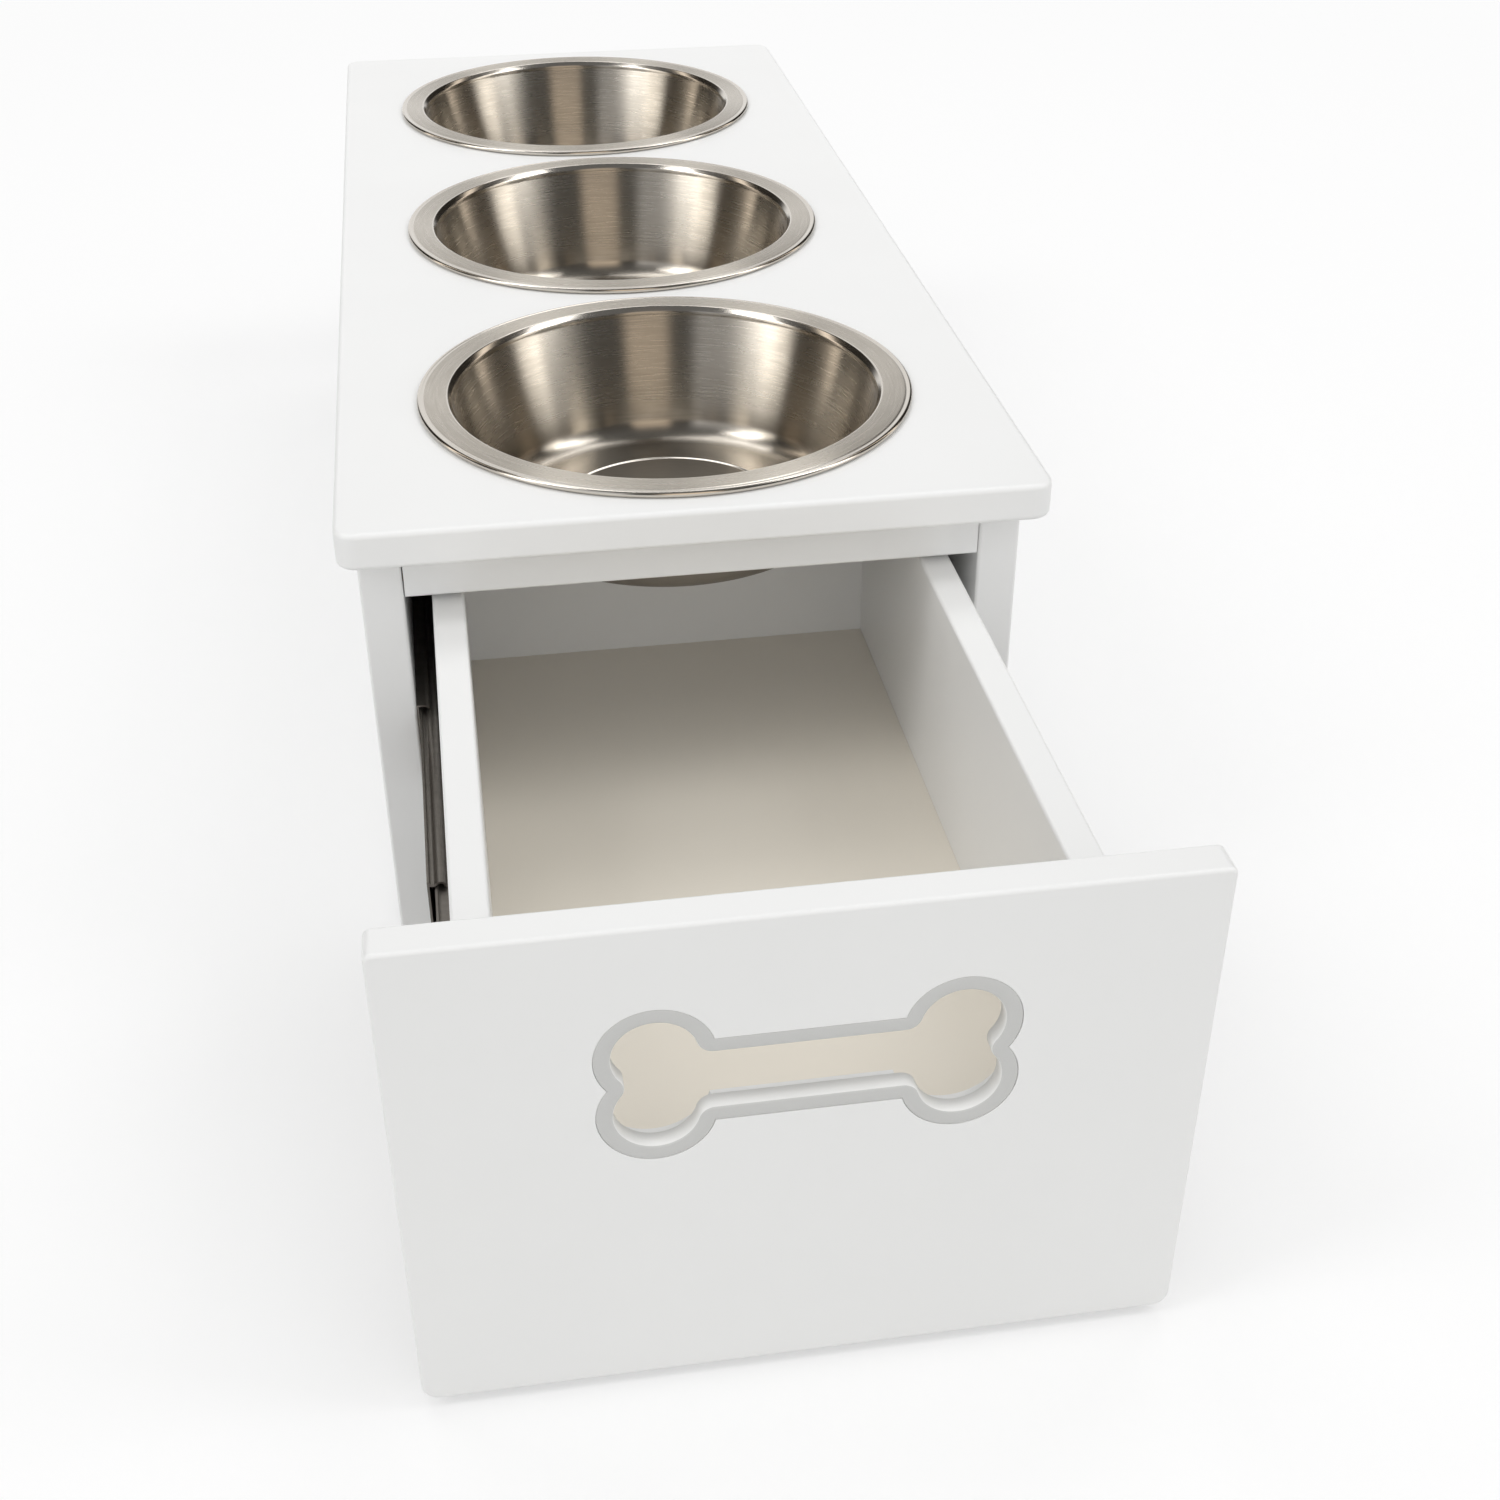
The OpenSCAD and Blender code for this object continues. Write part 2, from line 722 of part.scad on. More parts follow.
module slide_middle_member() slide_member(middle_y) middle_member_section();
module slide_middle_member_left() color("#969592") slide_middle_member();
module slide_middle_member_right() color("#969592") mirror([1, 0, 0]) slide_middle_member();

drawer_member_x = slide_space - inner_w / 2 - slide_steel;
module slide_drawer_member() {
    difference() {
        slide_member(drawer_member_y) drawer_member_section();
        slide_screw_places(drawer_member_y, drawer_member_x, 1) screw_bore();
    }
}

module slide_drawer_member_left() color("#8e8d8a") slide_drawer_member();
module slide_drawer_member_right() color("#8e8d8a") mirror([1, 0, 0]) slide_drawer_member();

module drawer_slide_screws() {
    color("#8d8f90") both_sides()
        slide_screw_places(drawer_member_y, drawer_member_x, 1) screw();
}

// Strip of bearing balls along Y
module ball_strip() {
    cube([strip_w, strip_l, strip_t], center = true);
    for (k = [0:ball_count])
        translate([0, (k - ball_count / 2) * ball_pitch, 0]) sphere(d = ball_d);
}

module ball_strips(y, place) {
    for (s = [-1, 1])
        translate([place[0] - inner_w / 2, y, slide_z + s * place[1]]) ball_strip();
}

module outer_ball_strips_left() color("#c9cacb") ball_strips(outer_strip_y, outer_ball);
module outer_ball_strips_right() {
    color("#c9cacb") mirror([1, 0, 0]) ball_strips(outer_strip_y, outer_ball);
}
module inner_ball_strips_left() color("#c9cacb") ball_strips(inner_strip_y, inner_ball);
module inner_ball_strips_right() {
    color("#c9cacb") mirror([1, 0, 0]) ball_strips(inner_strip_y, inner_ball);
}

// Drawer

// Outline of the bone, grown outwards
module bone(grow) {
    for (sx = [-1, 1], sz = [-1, 1])
        translate([sx * bone_reach, sz * bone_spread]) circle(bone_lobe_r + grow);
    shaft_h = bone_shaft_h + 2 * grow;
    translate([-bone_reach, -shaft_h / 2]) square([2 * bone_reach, shaft_h]);
}

// Hole in the trim: the bone drawn in by the trim's width, with round inner corners
module bone_hole() {
    lobe_r = bone_lobe_r - trim_w;
    shaft_half = bone_shaft_h / 2;
    notch = [bone_reach + sqrt(pow(bone_lobe_r, 2) - pow(bone_spread, 2)), 0];
    neck = [bone_reach - sqrt(pow(bone_lobe_r, 2) - pow(shaft_half - bone_spread, 2)), shaft_half];
    lobe = [bone_reach, bone_spread];
    for (sx = [-1, 1], sz = [-1, 1]) scale([sx, sz]) translate(lobe) circle(lobe_r);
    translate([-neck[0], trim_w - shaft_half]) square([2 * neck[0], 2 * (shaft_half - trim_w)]);
    for (sx = [-1, 1]) scale([sx, 1]) difference() {
        polygon([notch, lobe, [neck[0], neck[1]], [neck[0], -neck[1]], [lobe[0], -lobe[1]]]);
        translate(notch) circle(trim_w);
        for (sz = [-1, 1]) translate([neck[0], sz * neck[1]]) circle(trim_w);
    }
}

module grip_place(depth) {
    translate([0, drawer_y - drawer_front_t, drawer_front_top - bone_drop])
        rotate([90, 0, 0]) translate([0, 0, -depth]) linear_extrude(depth) children();
}

module grip_trim() {
    color("#c6c6c4") difference() {
        grip_place(trim_t) bone(0);
        translate([0, -over, 0]) grip_place(trim_t + 2 * over) bone_hole();
    }
}

module drawer_front() {
    color("#e9e9e7") difference() {
        translate([0, drawer_y, drawer_floor_gap + drawer_front_h / 2]) rotate([90, 0, 0])
            eased_board(drawer_front_w, drawer_front_h, drawer_front_t,
                drawer_corner_r, drawer_top_r, drawer_ease);
        translate([0, -over, 0]) grip_place(drawer_front_t + 2 * over) bone(trim_fit);
        floor_groove();
        drawer_dowel_places() dowel_bore(dowel_l);
    }
}

// Groove that takes the drawer floor in the sides and the front
module floor_groove() {
    w = box_inner_w + 2 * groove_depth;
    board([-w / 2, drawer_y - groove_depth, drawer_floor_z - groove_fit],
        [w / 2, drawer_end_y + over, drawer_floor_top + groove_fit]);
}

// Profile of the left drawer side, with both upper edges eased
module drawer_side_profile() {
    x = -box_w / 2;
    translate([x, drawer_side_z]) square([drawer_side_t, drawer_side_h - drawer_ease]);
    translate([x + drawer_ease, drawer_side_top - drawer_ease])
        square([drawer_side_t - 2 * drawer_ease, drawer_ease]);
    for (u = [drawer_ease, drawer_side_t - drawer_ease])
        translate([x + u, drawer_side_top - drawer_ease]) circle(drawer_ease);
}

module drawer_side() {
    difference() {
        along_y(drawer_y, drawer_end_y) drawer_side_profile();
        floor_groove();
        drawer_dowel_places() dowel_bore(dowel_l);
        slide_screw_places(drawer_member_y, drawer_member_x, 1) screw_bore();
    }
}

module drawer_side_left() color("#efefed") drawer_side();
module drawer_side_right() color("#efefed") mirror([1, 0, 0]) drawer_side();

module drawer_back() {
    color("#dddcd8") difference() {
        board([-box_inner_w / 2, drawer_back_y, drawer_floor_top],
            [box_inner_w / 2, drawer_end_y, drawer_back_top]);
        drawer_dowel_places() dowel_bore(dowel_l);
        drawer_floor_screw_places() screw_bore();
    }
}

module drawer_floor() {
    color("#dddad4") difference() {
        board([-floor_w / 2, drawer_y - groove_depth + groove_fit, drawer_floor_z],
            [floor_w / 2, drawer_end_y, drawer_floor_top]);
        drawer_floor_screw_places() screw_bore();
    }
}

// Dowels from the sides into the front along Y, and from the back into the sides along X
module drawer_dowel_places() {
    front_bite = drawer_front_t - dowel_skin;
    both_sides() {
        for (z = dowel_zs(drawer_side_z, drawer_side_h))
            translate([(drawer_side_t - box_w) / 2, drawer_y - front_bite, z])
                rotate([-90, 0, 0]) children();
        for (z = dowel_zs(drawer_floor_top, drawer_back_top - drawer_floor_top))
            translate([-box_inner_w / 2 - dowel_bite, drawer_end_y - drawer_back_t / 2, z])
                rotate([0, 90, 0]) children();
    }
}

module drawer_dowels() color("#d9b98a") drawer_dowel_places() dowel(dowel_l);

module drawer_floor_screw_places() {
    for (x = [floor_screw_inset - box_inner_w / 2, 0, box_inner_w / 2 - floor_screw_inset])
        translate([x, drawer_end_y - drawer_back_t / 2, drawer_floor_z]) children();
}

module drawer_floor_screws() color("#8d8f90") drawer_floor_screw_places() screw();

module drawer_bumpers() {
    color("#d6dadb") both_sides()
        for (z = [drawer_floor_gap + bumper_inset, drawer_front_top - bumper_inset])
            translate([(side_t - frame_w) / 2, drawer_y, z]) rotate([-90, 0, 0])
                cylinder(d = bumper_d, h = bumper_t);
}

top_panel();
side_panel_left();
side_panel_right();
back_panel();
front_top_rail();
front_bottom_rail();
base_panel();
base_cleats();
frame_dowels();
top_brackets();
bracket_screws();
base_screws();
floor_glides();
slide_frame_member_left();
slide_frame_member_right();
frame_slide_screws();
slide_middle_member_left();
slide_middle_member_right();
outer_ball_strips_left();
outer_ball_strips_right();
inner_ball_strips_left();
inner_ball_strips_right();
slide_drawer_member_left();
slide_drawer_member_right();
drawer_slide_screws();
drawer_front();
grip_trim();
drawer_side_left();
drawer_side_right();
drawer_back();
drawer_floor();
drawer_dowels();
drawer_floor_screws();
drawer_bumpers();
bowl_front();
bowl_middle();
bowl_rear();
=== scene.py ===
"""Raised dog feeder with three spun steel bowls and a storage drawer, dressed for its picture.

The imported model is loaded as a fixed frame. Each class below stands for one sub-assembly and
holds its sizes in millimetres. It gives the frame's own pieces their finish, and builds the
pieces that stand for a plainer one of the frame: the spun bowls, the moulded grip trim and the
cross recess screws.
"""

import logging
import math
from collections.abc import Callable, Iterable, Sequence
from dataclasses import dataclass, field
from enum import Enum

import bmesh
import bpy
from mathutils import Matrix, Vector


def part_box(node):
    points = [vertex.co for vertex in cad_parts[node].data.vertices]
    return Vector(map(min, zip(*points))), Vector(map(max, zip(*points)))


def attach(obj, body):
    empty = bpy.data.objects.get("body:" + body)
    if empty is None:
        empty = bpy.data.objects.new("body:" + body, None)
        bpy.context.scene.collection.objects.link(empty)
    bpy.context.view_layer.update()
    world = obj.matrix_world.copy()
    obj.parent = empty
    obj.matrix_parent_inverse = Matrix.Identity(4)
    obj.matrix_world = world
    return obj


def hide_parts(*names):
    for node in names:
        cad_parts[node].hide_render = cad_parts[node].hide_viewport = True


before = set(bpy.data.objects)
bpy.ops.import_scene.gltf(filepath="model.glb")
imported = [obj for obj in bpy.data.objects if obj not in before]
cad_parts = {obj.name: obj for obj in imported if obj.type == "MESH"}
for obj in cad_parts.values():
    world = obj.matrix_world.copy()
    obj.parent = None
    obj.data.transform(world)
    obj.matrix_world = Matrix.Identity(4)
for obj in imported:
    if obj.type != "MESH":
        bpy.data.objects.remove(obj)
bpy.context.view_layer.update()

LOG = logging.getLogger("feeder")
MM = 0.001
# Points closer together than this are welded into one
WELD = 0.002 * MM
WHITE = "#FFFFFF"
# A mix node's colour sockets by number, because its types share their names
MIX_A, MIX_B, MIX_OUT = 6, 7, 2
SocketKey = str | int
Span = tuple[float, float]
Point2 = tuple[float, float]
Point3 = tuple[float, float, float]
Outline = list[tuple[Point2, float]]
Tree = bpy.types.NodeTree
Node = bpy.types.Node
Socket = bpy.types.NodeSocket
WorkMesh = bmesh.types.BMesh


class Body(Enum):
    """Bodies of the frame that pieces ride on."""

    FRAME = "frame"
    DRAWER = "drawer"
    BOWL_FRONT = "bowl_front"
    BOWL_MIDDLE = "bowl_middle"
    BOWL_REAR = "bowl_rear"


class MaterialSlot(Enum):
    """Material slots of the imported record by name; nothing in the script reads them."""

    BOWL_STEEL = "bowl_steel"
    GRIP_TRIM = "grip_trim"
    ZINC_STEEL = "zinc_steel"


class Axis(Enum):
    """Axes that a set of screws may lie along."""

    X = 0
    Z = 2


def linear(colour: str) -> tuple[float, float, float, float]:
    """Turn an sRGB hex colour into Blender's linear colour.

    Args:
        colour: Colour such as "#F1F1F0".

    Returns:
        Linear red, green and blue, with an alpha of 1.
    """
    shares = [int(colour[k:k + 2], 16) / 255 for k in (1, 3, 5)]
    red, green, blue = (
        s / 12.92 if s <= 0.04045 else ((s + 0.055) / 1.055) ** 2.4 for s in shares
    )
    return red, green, blue, 1.0


def add_node(
    tree: Tree, kind: str, inputs: dict[SocketKey, object] | None = None, **settings: object
) -> Node:
    """Add one shader node with its settings, its values and its links.

    Args:
        tree: Node tree that takes the node.
        kind: Kind of shader node, such as TexNoise.
        inputs: For each input, by name or number, its value, the output that is linked to it,
            or the node whose first output is.
        **settings: Attributes of the node itself.

    Returns:
        The new node.
    """
    node = tree.nodes.new(f"ShaderNode{kind}")
    for name, value in settings.items():
        setattr(node, name, value)
    for key, given in (inputs or {}).items():
        value = given.outputs[0] if isinstance(given, Node) else given
        if isinstance(value, Socket):
            tree.links.new(value, node.inputs[key])
        else:
            node.inputs[key].default_value = value
    return node


# Finishes


@dataclass(frozen=True)
class Pattern:
    """An uneven pattern, from the real size of its forms in millimetres."""

    size_mm: float
    detail: float
    roughness: float
    # How many times longer the forms are along X, Y and Z
    stretch: Point3 = (1.0, 1.0, 1.0)

    def draw(self, tree: Tree) -> Node:
        """Draw the pattern in the piece's own coordinates.

        Args:
            tree: Node tree of the material.

        Returns:
            Node whose first output holds the pattern, from 0 to 1.
        """
        place = add_node(tree, "TexCoord").outputs["Object"]
        scale = [1 / (self.size_mm * MM * times) for times in self.stretch]
        scaled = add_node(tree, "Mapping", {"Vector": place, "Scale": scale})
        grain = {"Scale": 1.0, "Detail": self.detail, "Roughness": self.roughness}
        return add_node(tree, "TexNoise", {"Vector": scaled, **grain})


@dataclass(frozen=True)
class Finish:
    """What a piece is made of and how its surface was made."""

    name: str

    def material(self) -> bpy.types.Material:
        """Give the finish's material, which is made the first time.

        Returns:
            The material, with its shader drawn.
        """
        known = bpy.data.materials.get(self.name)
        if known:
            return known
        made = bpy.data.materials.new(self.name)
        made.use_nodes = True
        made.node_tree.nodes.clear()
        shader = self.surface(made.node_tree)
        add_node(made.node_tree, "OutputMaterial", {"Surface": shader})
        return made

    def surface(self, tree: Tree) -> Node:
        """Draw the finish.

        Args:
            tree: Node tree of the material.

        Returns:
            Its shader.
        """
        raise NotImplementedError


@dataclass(frozen=True)
class UnevenFinish(Finish):
    """Finish whose colour and gloss follow an uneven pattern, and its relief that or another."""

    colour: str
    second_colour: str
    roughness: float
    tones: Pattern
    rise_mm: float
    # Where in the pattern the first colour ends and the second one is full
    tone_ends: Span = (0.0, 1.0)
    roughness_drift: float = 0.0
    grain: Pattern | None = None
    metallic: float = 0.0
    # Lacquer, plastic and wood are near 1.5, and a metal keeps this default
    ior: float = 1.5

    def surface(self, tree: Tree) -> Node:
        """Draw the finish.

        Args:
            tree: Node tree of the material.

        Returns:
            Its shader.
        """
        tones = self.tones.draw(tree)
        start, end = self.tone_ends
        share = add_node(tree, "MapRange", {"Value": tones, "From Min": start, "From Max": end})
        colours = {MIX_A: linear(self.colour), MIX_B: linear(self.second_colour)}
        tint = add_node(tree, "Mix", {0: share, **colours}, data_type="RGBA")
        gloss = self.roughness
        if self.roughness_drift:
            low, high = gloss - self.roughness_drift, gloss + self.roughness_drift
            gloss = add_node(tree, "MapRange", {"Value": tones, "To Min": low, "To Max": high})
        grain = self.grain.draw(tree) if self.grain else tones
        relief = add_node(tree, "Bump", {"Height": grain, "Distance": self.rise_mm * MM})
        return add_node(tree, "BsdfPrincipled", {
            "Base Color": tint.outputs[MIX_OUT],
            "Roughness": gloss,
            "Metallic": self.metallic,
            "IOR": self.ior,
            "Normal": relief,
        })


@dataclass(frozen=True)
class SprayedLacquer(UnevenFinish):
    """White satin lacquer, sprayed on sanded MDF board.

    It reads as an even, soft white. The sprayed film has a very slight orange peel that breaks
    up the reflections, and the coat's tone drifts a little over a hand's width.
    """

    roughness: float = 0.34
    roughness_drift: float = 0.05
    tones: Pattern = Pattern(140.0, 3.0, 0.55)
    grain: Pattern = Pattern(1.8, 2.0, 0.4)
    rise_mm: float = 0.004


@dataclass(frozen=True)
class RolledSteel(UnevenFinish):
    """Cold rolled steel strip with a thin coat of zinc.

    The strip keeps faint lines along its length, and the coat has a fine mottle, so that it
    shines softly and never quite evenly.
    """

    roughness: float = 0.32
    roughness_drift: float = 0.08
    tones: Pattern = Pattern(4.0, 4.0, 0.6)
    # Rolling lines are finer than 0.1 mm, so that they are drawn wider. They run along Y
    grain: Pattern = Pattern(0.6, 2.0, 0.5, (1.0, 100.0, 1.0))
    rise_mm: float = 0.004
    metallic: float = 1.0


@dataclass(frozen=True)
class MouldedPlastic(UnevenFinish):
    """Injection moulded plastic with a fine eroded texture.

    The texture scatters the light, so that the piece looks even and matt with a soft sheen.
    """

    roughness: float = 0.45
    # Real grit is about 0.1 mm, too fine to show, so that it is drawn coarser
    tones: Pattern = Pattern(0.7, 3.0, 0.65)
    rise_mm: float = 0.012


@dataclass(frozen=True)
class TurnedBeech(UnevenFinish):
    """Unfinished beech, turned and fluted into dowels.

    Beech is pale pink brown, with short darker flecks along the grain.
    """

    roughness: float = 0.62
    tones: Pattern = Pattern(0.5, 4.0, 0.7, (1.0, 1.0, 8.0))
    tone_ends: Span = (0.62, 0.38)
    rise_mm: float = 0.02


@dataclass(frozen=True)
class SpunStainless(Finish):
    """Stainless steel sheet, spun over a form and brushed while it turns.

    The brush leaves rings round the bowl. They draw each reflection out across them, so that
    the walls show upright light and dark bands, and they make the flat rim look like satin.
    """

    colour: str
    ring_colour: str
    roughness: float = 0.28
    roughness_drift: float = 0.05
    # The bend and the floor of a bowl keep more of the form's polish than its wall
    floor_roughness: float = 0.2
    floor_mm: float = -60.0
    wall_mm: float = -46.0
    stretch: float = 1.0
    # A quarter turn lays the long axis of a reflection across the rings
    stretch_turn: float = 0.25
    # Real brush rings are about 0.2 mm apart, too fine to show, so that they are drawn coarser
    ring_mm: float = 1.0
    ring_detail: float = 3.0
    ring_roughness: float = 0.6
    ring_rise_mm: float = 0.01
    # How much a ring changes on its way round: the radius of that way in the pattern
    ring_change: float = 6.0

    def rings(self, tree: Tree, parts: Node) -> Node:
        """Draw the brush rings, which change fast from one to the next and slowly round.

        Args:
            tree: Node tree of the material.
            parts: Node that gives X, Y and Z of the piece's own coordinates.

        Returns:
            Node whose first output holds the rings, from 0 to 1.
        """
        flat = add_node(tree, "CombineXYZ", {"X": parts.outputs["X"], "Y": parts.outputs["Y"]})
        radius = add_node(tree, "VectorMath", {0: flat}, operation="LENGTH")
        out, up = (
            add_node(tree, "Math", {0: part, 1: 1 / (self.ring_mm * MM)}, operation="MULTIPLY")
            for part in (radius.outputs["Value"], parts.outputs["Z"])
        )
        way = add_node(tree, "VectorMath", {0: flat}, operation="NORMALIZE")
        across = add_node(tree, "CombineXYZ", {"Z": out})
        place = add_node(
            tree, "VectorMath", {0: way, 1: [self.ring_change] * 3, 2: across},
            operation="MULTIPLY_ADD",
        )
        grain = {"Scale": 1.0, "Detail": self.ring_detail, "Roughness": self.ring_roughness}
        return add_node(
            tree, "TexNoise", {"Vector": place, "W": up, **grain}, noise_dimensions="4D"
        )

    def surface(self, tree: Tree) -> Node:
        """Draw the brushed steel.

        Args:
            tree: Node tree of the material.

        Returns:
            Its shader.
        """
        place = add_node(tree, "TexCoord").outputs["Object"]
        parts = add_node(tree, "SeparateXYZ", {0: place})
        rings = self.rings(tree, parts)
        polish = add_node(
            tree, "MapRange",
            {
                "Value": parts.outputs["Z"],
                "From Min": self.floor_mm * MM, "From Max": self.wall_mm * MM,
                "To Min": self.floor_roughness - self.roughness_drift,
                "To Max": self.roughness - self.roughness_drift,
            },
            interpolation_type="SMOOTHSTEP",
        )
        gloss = add_node(
            tree, "Math", {0: rings, 1: 2 * self.roughness_drift, 2: polish},
            operation="MULTIPLY_ADD",
        )
        colours = {MIX_A: linear(self.colour), MIX_B: linear(self.ring_colour)}
        tint = add_node(tree, "Mix", {0: rings, **colours}, data_type="RGBA")
        relief = add_node(tree, "Bump", {"Height": rings, "Distance": self.ring_rise_mm * MM})
        return add_node(tree, "BsdfPrincipled", {
            "Base Color": tint.outputs[MIX_OUT],
            "Metallic": 1.0,
            "Roughness": gloss,
            "Anisotropic": self.stretch,
            "Anisotropic Rotation": self.stretch_turn,
            "Tangent": add_node(tree, "Tangent", direction_type="RADIAL", axis="Z"),
            "Normal": relief,
        })


WHITE_LACQUER = SprayedLacquer("satin_white_lacquer", "#F4F4F3", "#EFEFEE")
# The drawer's floor is a thin faced board: a flatter film without orange peel, a little warmer
WHITE_MELAMINE = SprayedLacquer(
    "white_melamine_facing", "#EFE9DD", "#EAE3D6", roughness=0.42,
    grain=Pattern(0.9, 2.0, 0.4), rise_mm=0.003,
)
BRUSHED_STAINLESS = SpunStainless("spun_brushed_stainless", "#CDC6BC", "#ABA498")
# The roller burnishes the bends at the rim, the rolled edge and the step round the disc. Their
# lighter colour is partly a painted highlight, so that these bends show as bright lines
BURNISHED_HIGHLIGHT_STAINLESS = SpunStainless(
    "burnished_edge_highlight_stainless", "#D6D0C7", "#CFC9C0", roughness=0.17, roughness_drift=0.03,
    floor_roughness=0.17, stretch=0.5, ring_rise_mm=0.004,
)
# The follower holds the disc while the sheet is spun, so that the brush never reaches it. Its much
# darker colour is painted shade that dims the reflections on the disc
MILL_SHADE_PAINTED_STAINLESS = SpunStainless(
    "mill_finish_shade_darkened_stainless", "#8E877D", "#878076", roughness=0.4, floor_roughness=0.4,
    stretch=0.3, ring_rise_mm=0.002,
)
# Nobody brushes the outside of a bowl: the sheet keeps the dull grey skin that spinning leaves.
# Its dark colour is partly painted shade, so that the underside, where it shows under the front
# rail, reads as shade
DULL_SHADE_PAINTED_STAINLESS = SpunStainless(
    "unbrushed_dull_shade_darkened_stainless", "#8F8A83", "#88837C", roughness=0.55, floor_roughness=0.55,
    stretch=0.4,
)
# Slides are zinc plated in a barrel, which leaves a dull, slightly warm grey skin
DULL_ZINC_STEEL = RolledSteel("barrel_zinc_slide_steel", "#8D8882", "#78736D", roughness=0.45)
# Ground balls and their zinc plated strip: the brightest metal in the slides
GROUND_BALL_STEEL = RolledSteel(
    "ground_ball_steel", "#C9CBCC", "#BFC1C3", roughness=0.16, roughness_drift=0.04
)
ZINC_PLATED_STEEL = RolledSteel("zinc_plated_steel", "#C3C7CA", "#AFB4B8")
# The trim is moulded in off-white plastic, and its face alone is foiled in a flat light grey
OFF_WHITE_TRIM_ABS = MouldedPlastic("off_white_trim_abs", "#EFEFED", "#EAEAE8")
GREY_TRIM_FOIL = MouldedPlastic("grey_trim_foil", "#CFCFCD", "#CACAC8")
GLIDE_POLYETHYLENE = MouldedPlastic(
    "dark_glide_polyethylene", "#4A4A4C", "#424244", roughness=0.5
)
# Bumpers are poured drops of clear soft plastic: smooth, and a cool grey against the white
BUMPER_POLYURETHANE = MouldedPlastic(
    "poured_bumper_polyurethane", "#D2D6D8", "#CDD1D3", roughness=0.2, rise_mm=0.001
)
DOWEL_BEECH = TurnedBeech("turned_beech", "#D9B88E", "#B98E62")


def dress(finish: Finish, nodes: Iterable[str]) -> None:
    """Give the frame's own pieces a finish through their material slots.

    Args:
        finish: Finish of these pieces.
        nodes: Names of the frame's nodes.
    """
    material = finish.material()
    for name in nodes:
        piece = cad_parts[name]
        if not piece.material_slots:
            piece.data.materials.append(material)
        for material_slot in piece.material_slots:
            material_slot.material = material
        LOG.info("dressed %s in %s", name, finish.name)


# Meshes


def arc(centre: Point2, radius: float, start: float, end: float, steps: int) -> list[Point2]:
    """Give the points of an arc, both ends included.

    Args:
        centre: Centre of the arc.
        radius: Its radius.
        start: Angle of the first point in degrees.
        end: Angle of the last point in degrees.
        steps: Number of spans.

    Returns:
        The points in order.
    """
    turns = [math.radians(start + (end - start) * k / steps) for k in range(steps + 1)]
    return [(centre[0] + radius * math.cos(a), centre[1] + radius * math.sin(a)) for a in turns]


def welded(work: WorkMesh, name: str) -> bpy.types.Mesh:
    """Weld a work mesh, turn its faces outwards and free it.

    Args:
        work: Work mesh, which this uses up.
        name: Name of the mesh.

    Returns:
        The mesh, smooth shaded.
    """
    bmesh.ops.remove_doubles(work, verts=work.verts, dist=WELD)
    bmesh.ops.recalc_face_normals(work, faces=work.faces)
    for face in work.faces:
        face.smooth = True
    mesh = bpy.data.meshes.new(name)
    work.to_mesh(mesh)
    work.free()
    return mesh


def link_object(name: str, data: bpy.types.ID) -> bpy.types.Object:
    """Put a mesh, a lamp or a camera into the scene as an object.

    Args:
        name: Name of the object.
        data: The mesh, lamp or camera.

    Returns:
        The object, at the origin.
    """
    made = bpy.data.objects.new(name, data)
    bpy.context.scene.collection.objects.link(made)
    return made


def mesh_object(
    name: str, fill: Callable[[WorkMesh], None], origin: Vector, finishes: Sequence[Finish]
) -> bpy.types.Object:
    """Make one object from a function that fills its mesh.

    Args:
        name: Name of the object and its mesh.
        fill: Function that adds the geometry, in metres.
        origin: Place of the object.
        finishes: Its finishes. The first one is on every face.

    Returns:
        The new object, smooth shaded.
    """
    work = bmesh.new()
    fill(work)
    made = link_object(name, welded(work, name))
    made.location = origin
    for finish in finishes:
        made.data.materials.append(finish.material())
    return made


def turned(section: Iterable[Point2], turns: int) -> list[list[Vector]]:
    """Turn a section round the Z axis.

    Args:
        section: Points as radius and height in millimetres.
        turns: Number of steps in one turn.

    Returns:
        A loop of points in metres for each point of the section.
    """
    around = [math.tau * k / turns for k in range(turns)]
    return [
        [Vector((r * math.cos(a), r * math.sin(a), z)) * MM for a in around] for r, z in section
    ]


def skin_loops(work: WorkMesh, loops: Sequence[Sequence[Vector]], closed: bool) -> None:
    """Join equal loops of points with a band of faces.

    Args:
        work: Mesh that takes the faces.
        loops: Closed loops with the same number of points.
        closed: Whether the last loop joins the first.
    """
    rows = [[work.verts.new(point) for point in loop] for loop in loops]
    for near, far in zip(rows, rows[1:] + rows[:1] if closed else rows[1:]):
        for k in range(len(near)):
            after = (k + 1) % len(near)
            work.faces.new((near[k], near[after], far[after], far[k]))


# Sub-assemblies


@dataclass
class Carcass:
    """Top panel, sides, back, rails and base panel, with what holds them together."""

    lacquered: tuple[str, ...] = (
        "top_panel", "side_panel_left", "side_panel_right", "back_panel",
        "front_top_rail", "front_bottom_rail", "base_panel", "base_cleats",
    )

    def build(self) -> None:
        """Dress the boards, the dowels, the brackets and the glides."""
        dress(WHITE_LACQUER, self.lacquered)
        dress(DOWEL_BEECH, ("frame_dowels",))
        dress(ZINC_PLATED_STEEL, ("top_brackets",))
        dress(GLIDE_POLYETHYLENE, ("floor_glides",))


@dataclass
class Slides:
    """The two telescopic slides, each with three members and two pairs of ball strips."""

    sides: tuple[str, ...] = ("left", "right")
    members: tuple[str, ...] = ("slide_frame_member", "slide_middle_member", "slide_drawer_member")
    ball_strips: tuple[str, ...] = ("outer_ball_strips", "inner_ball_strips")

    def build(self) -> None:
        """Dress the members and the ball strips of both slides."""
        dress(DULL_ZINC_STEEL, (f"{m}_{s}" for m in self.members for s in self.sides))
        dress(GROUND_BALL_STEEL, (f"{b}_{s}" for b in self.ball_strips for s in self.sides))


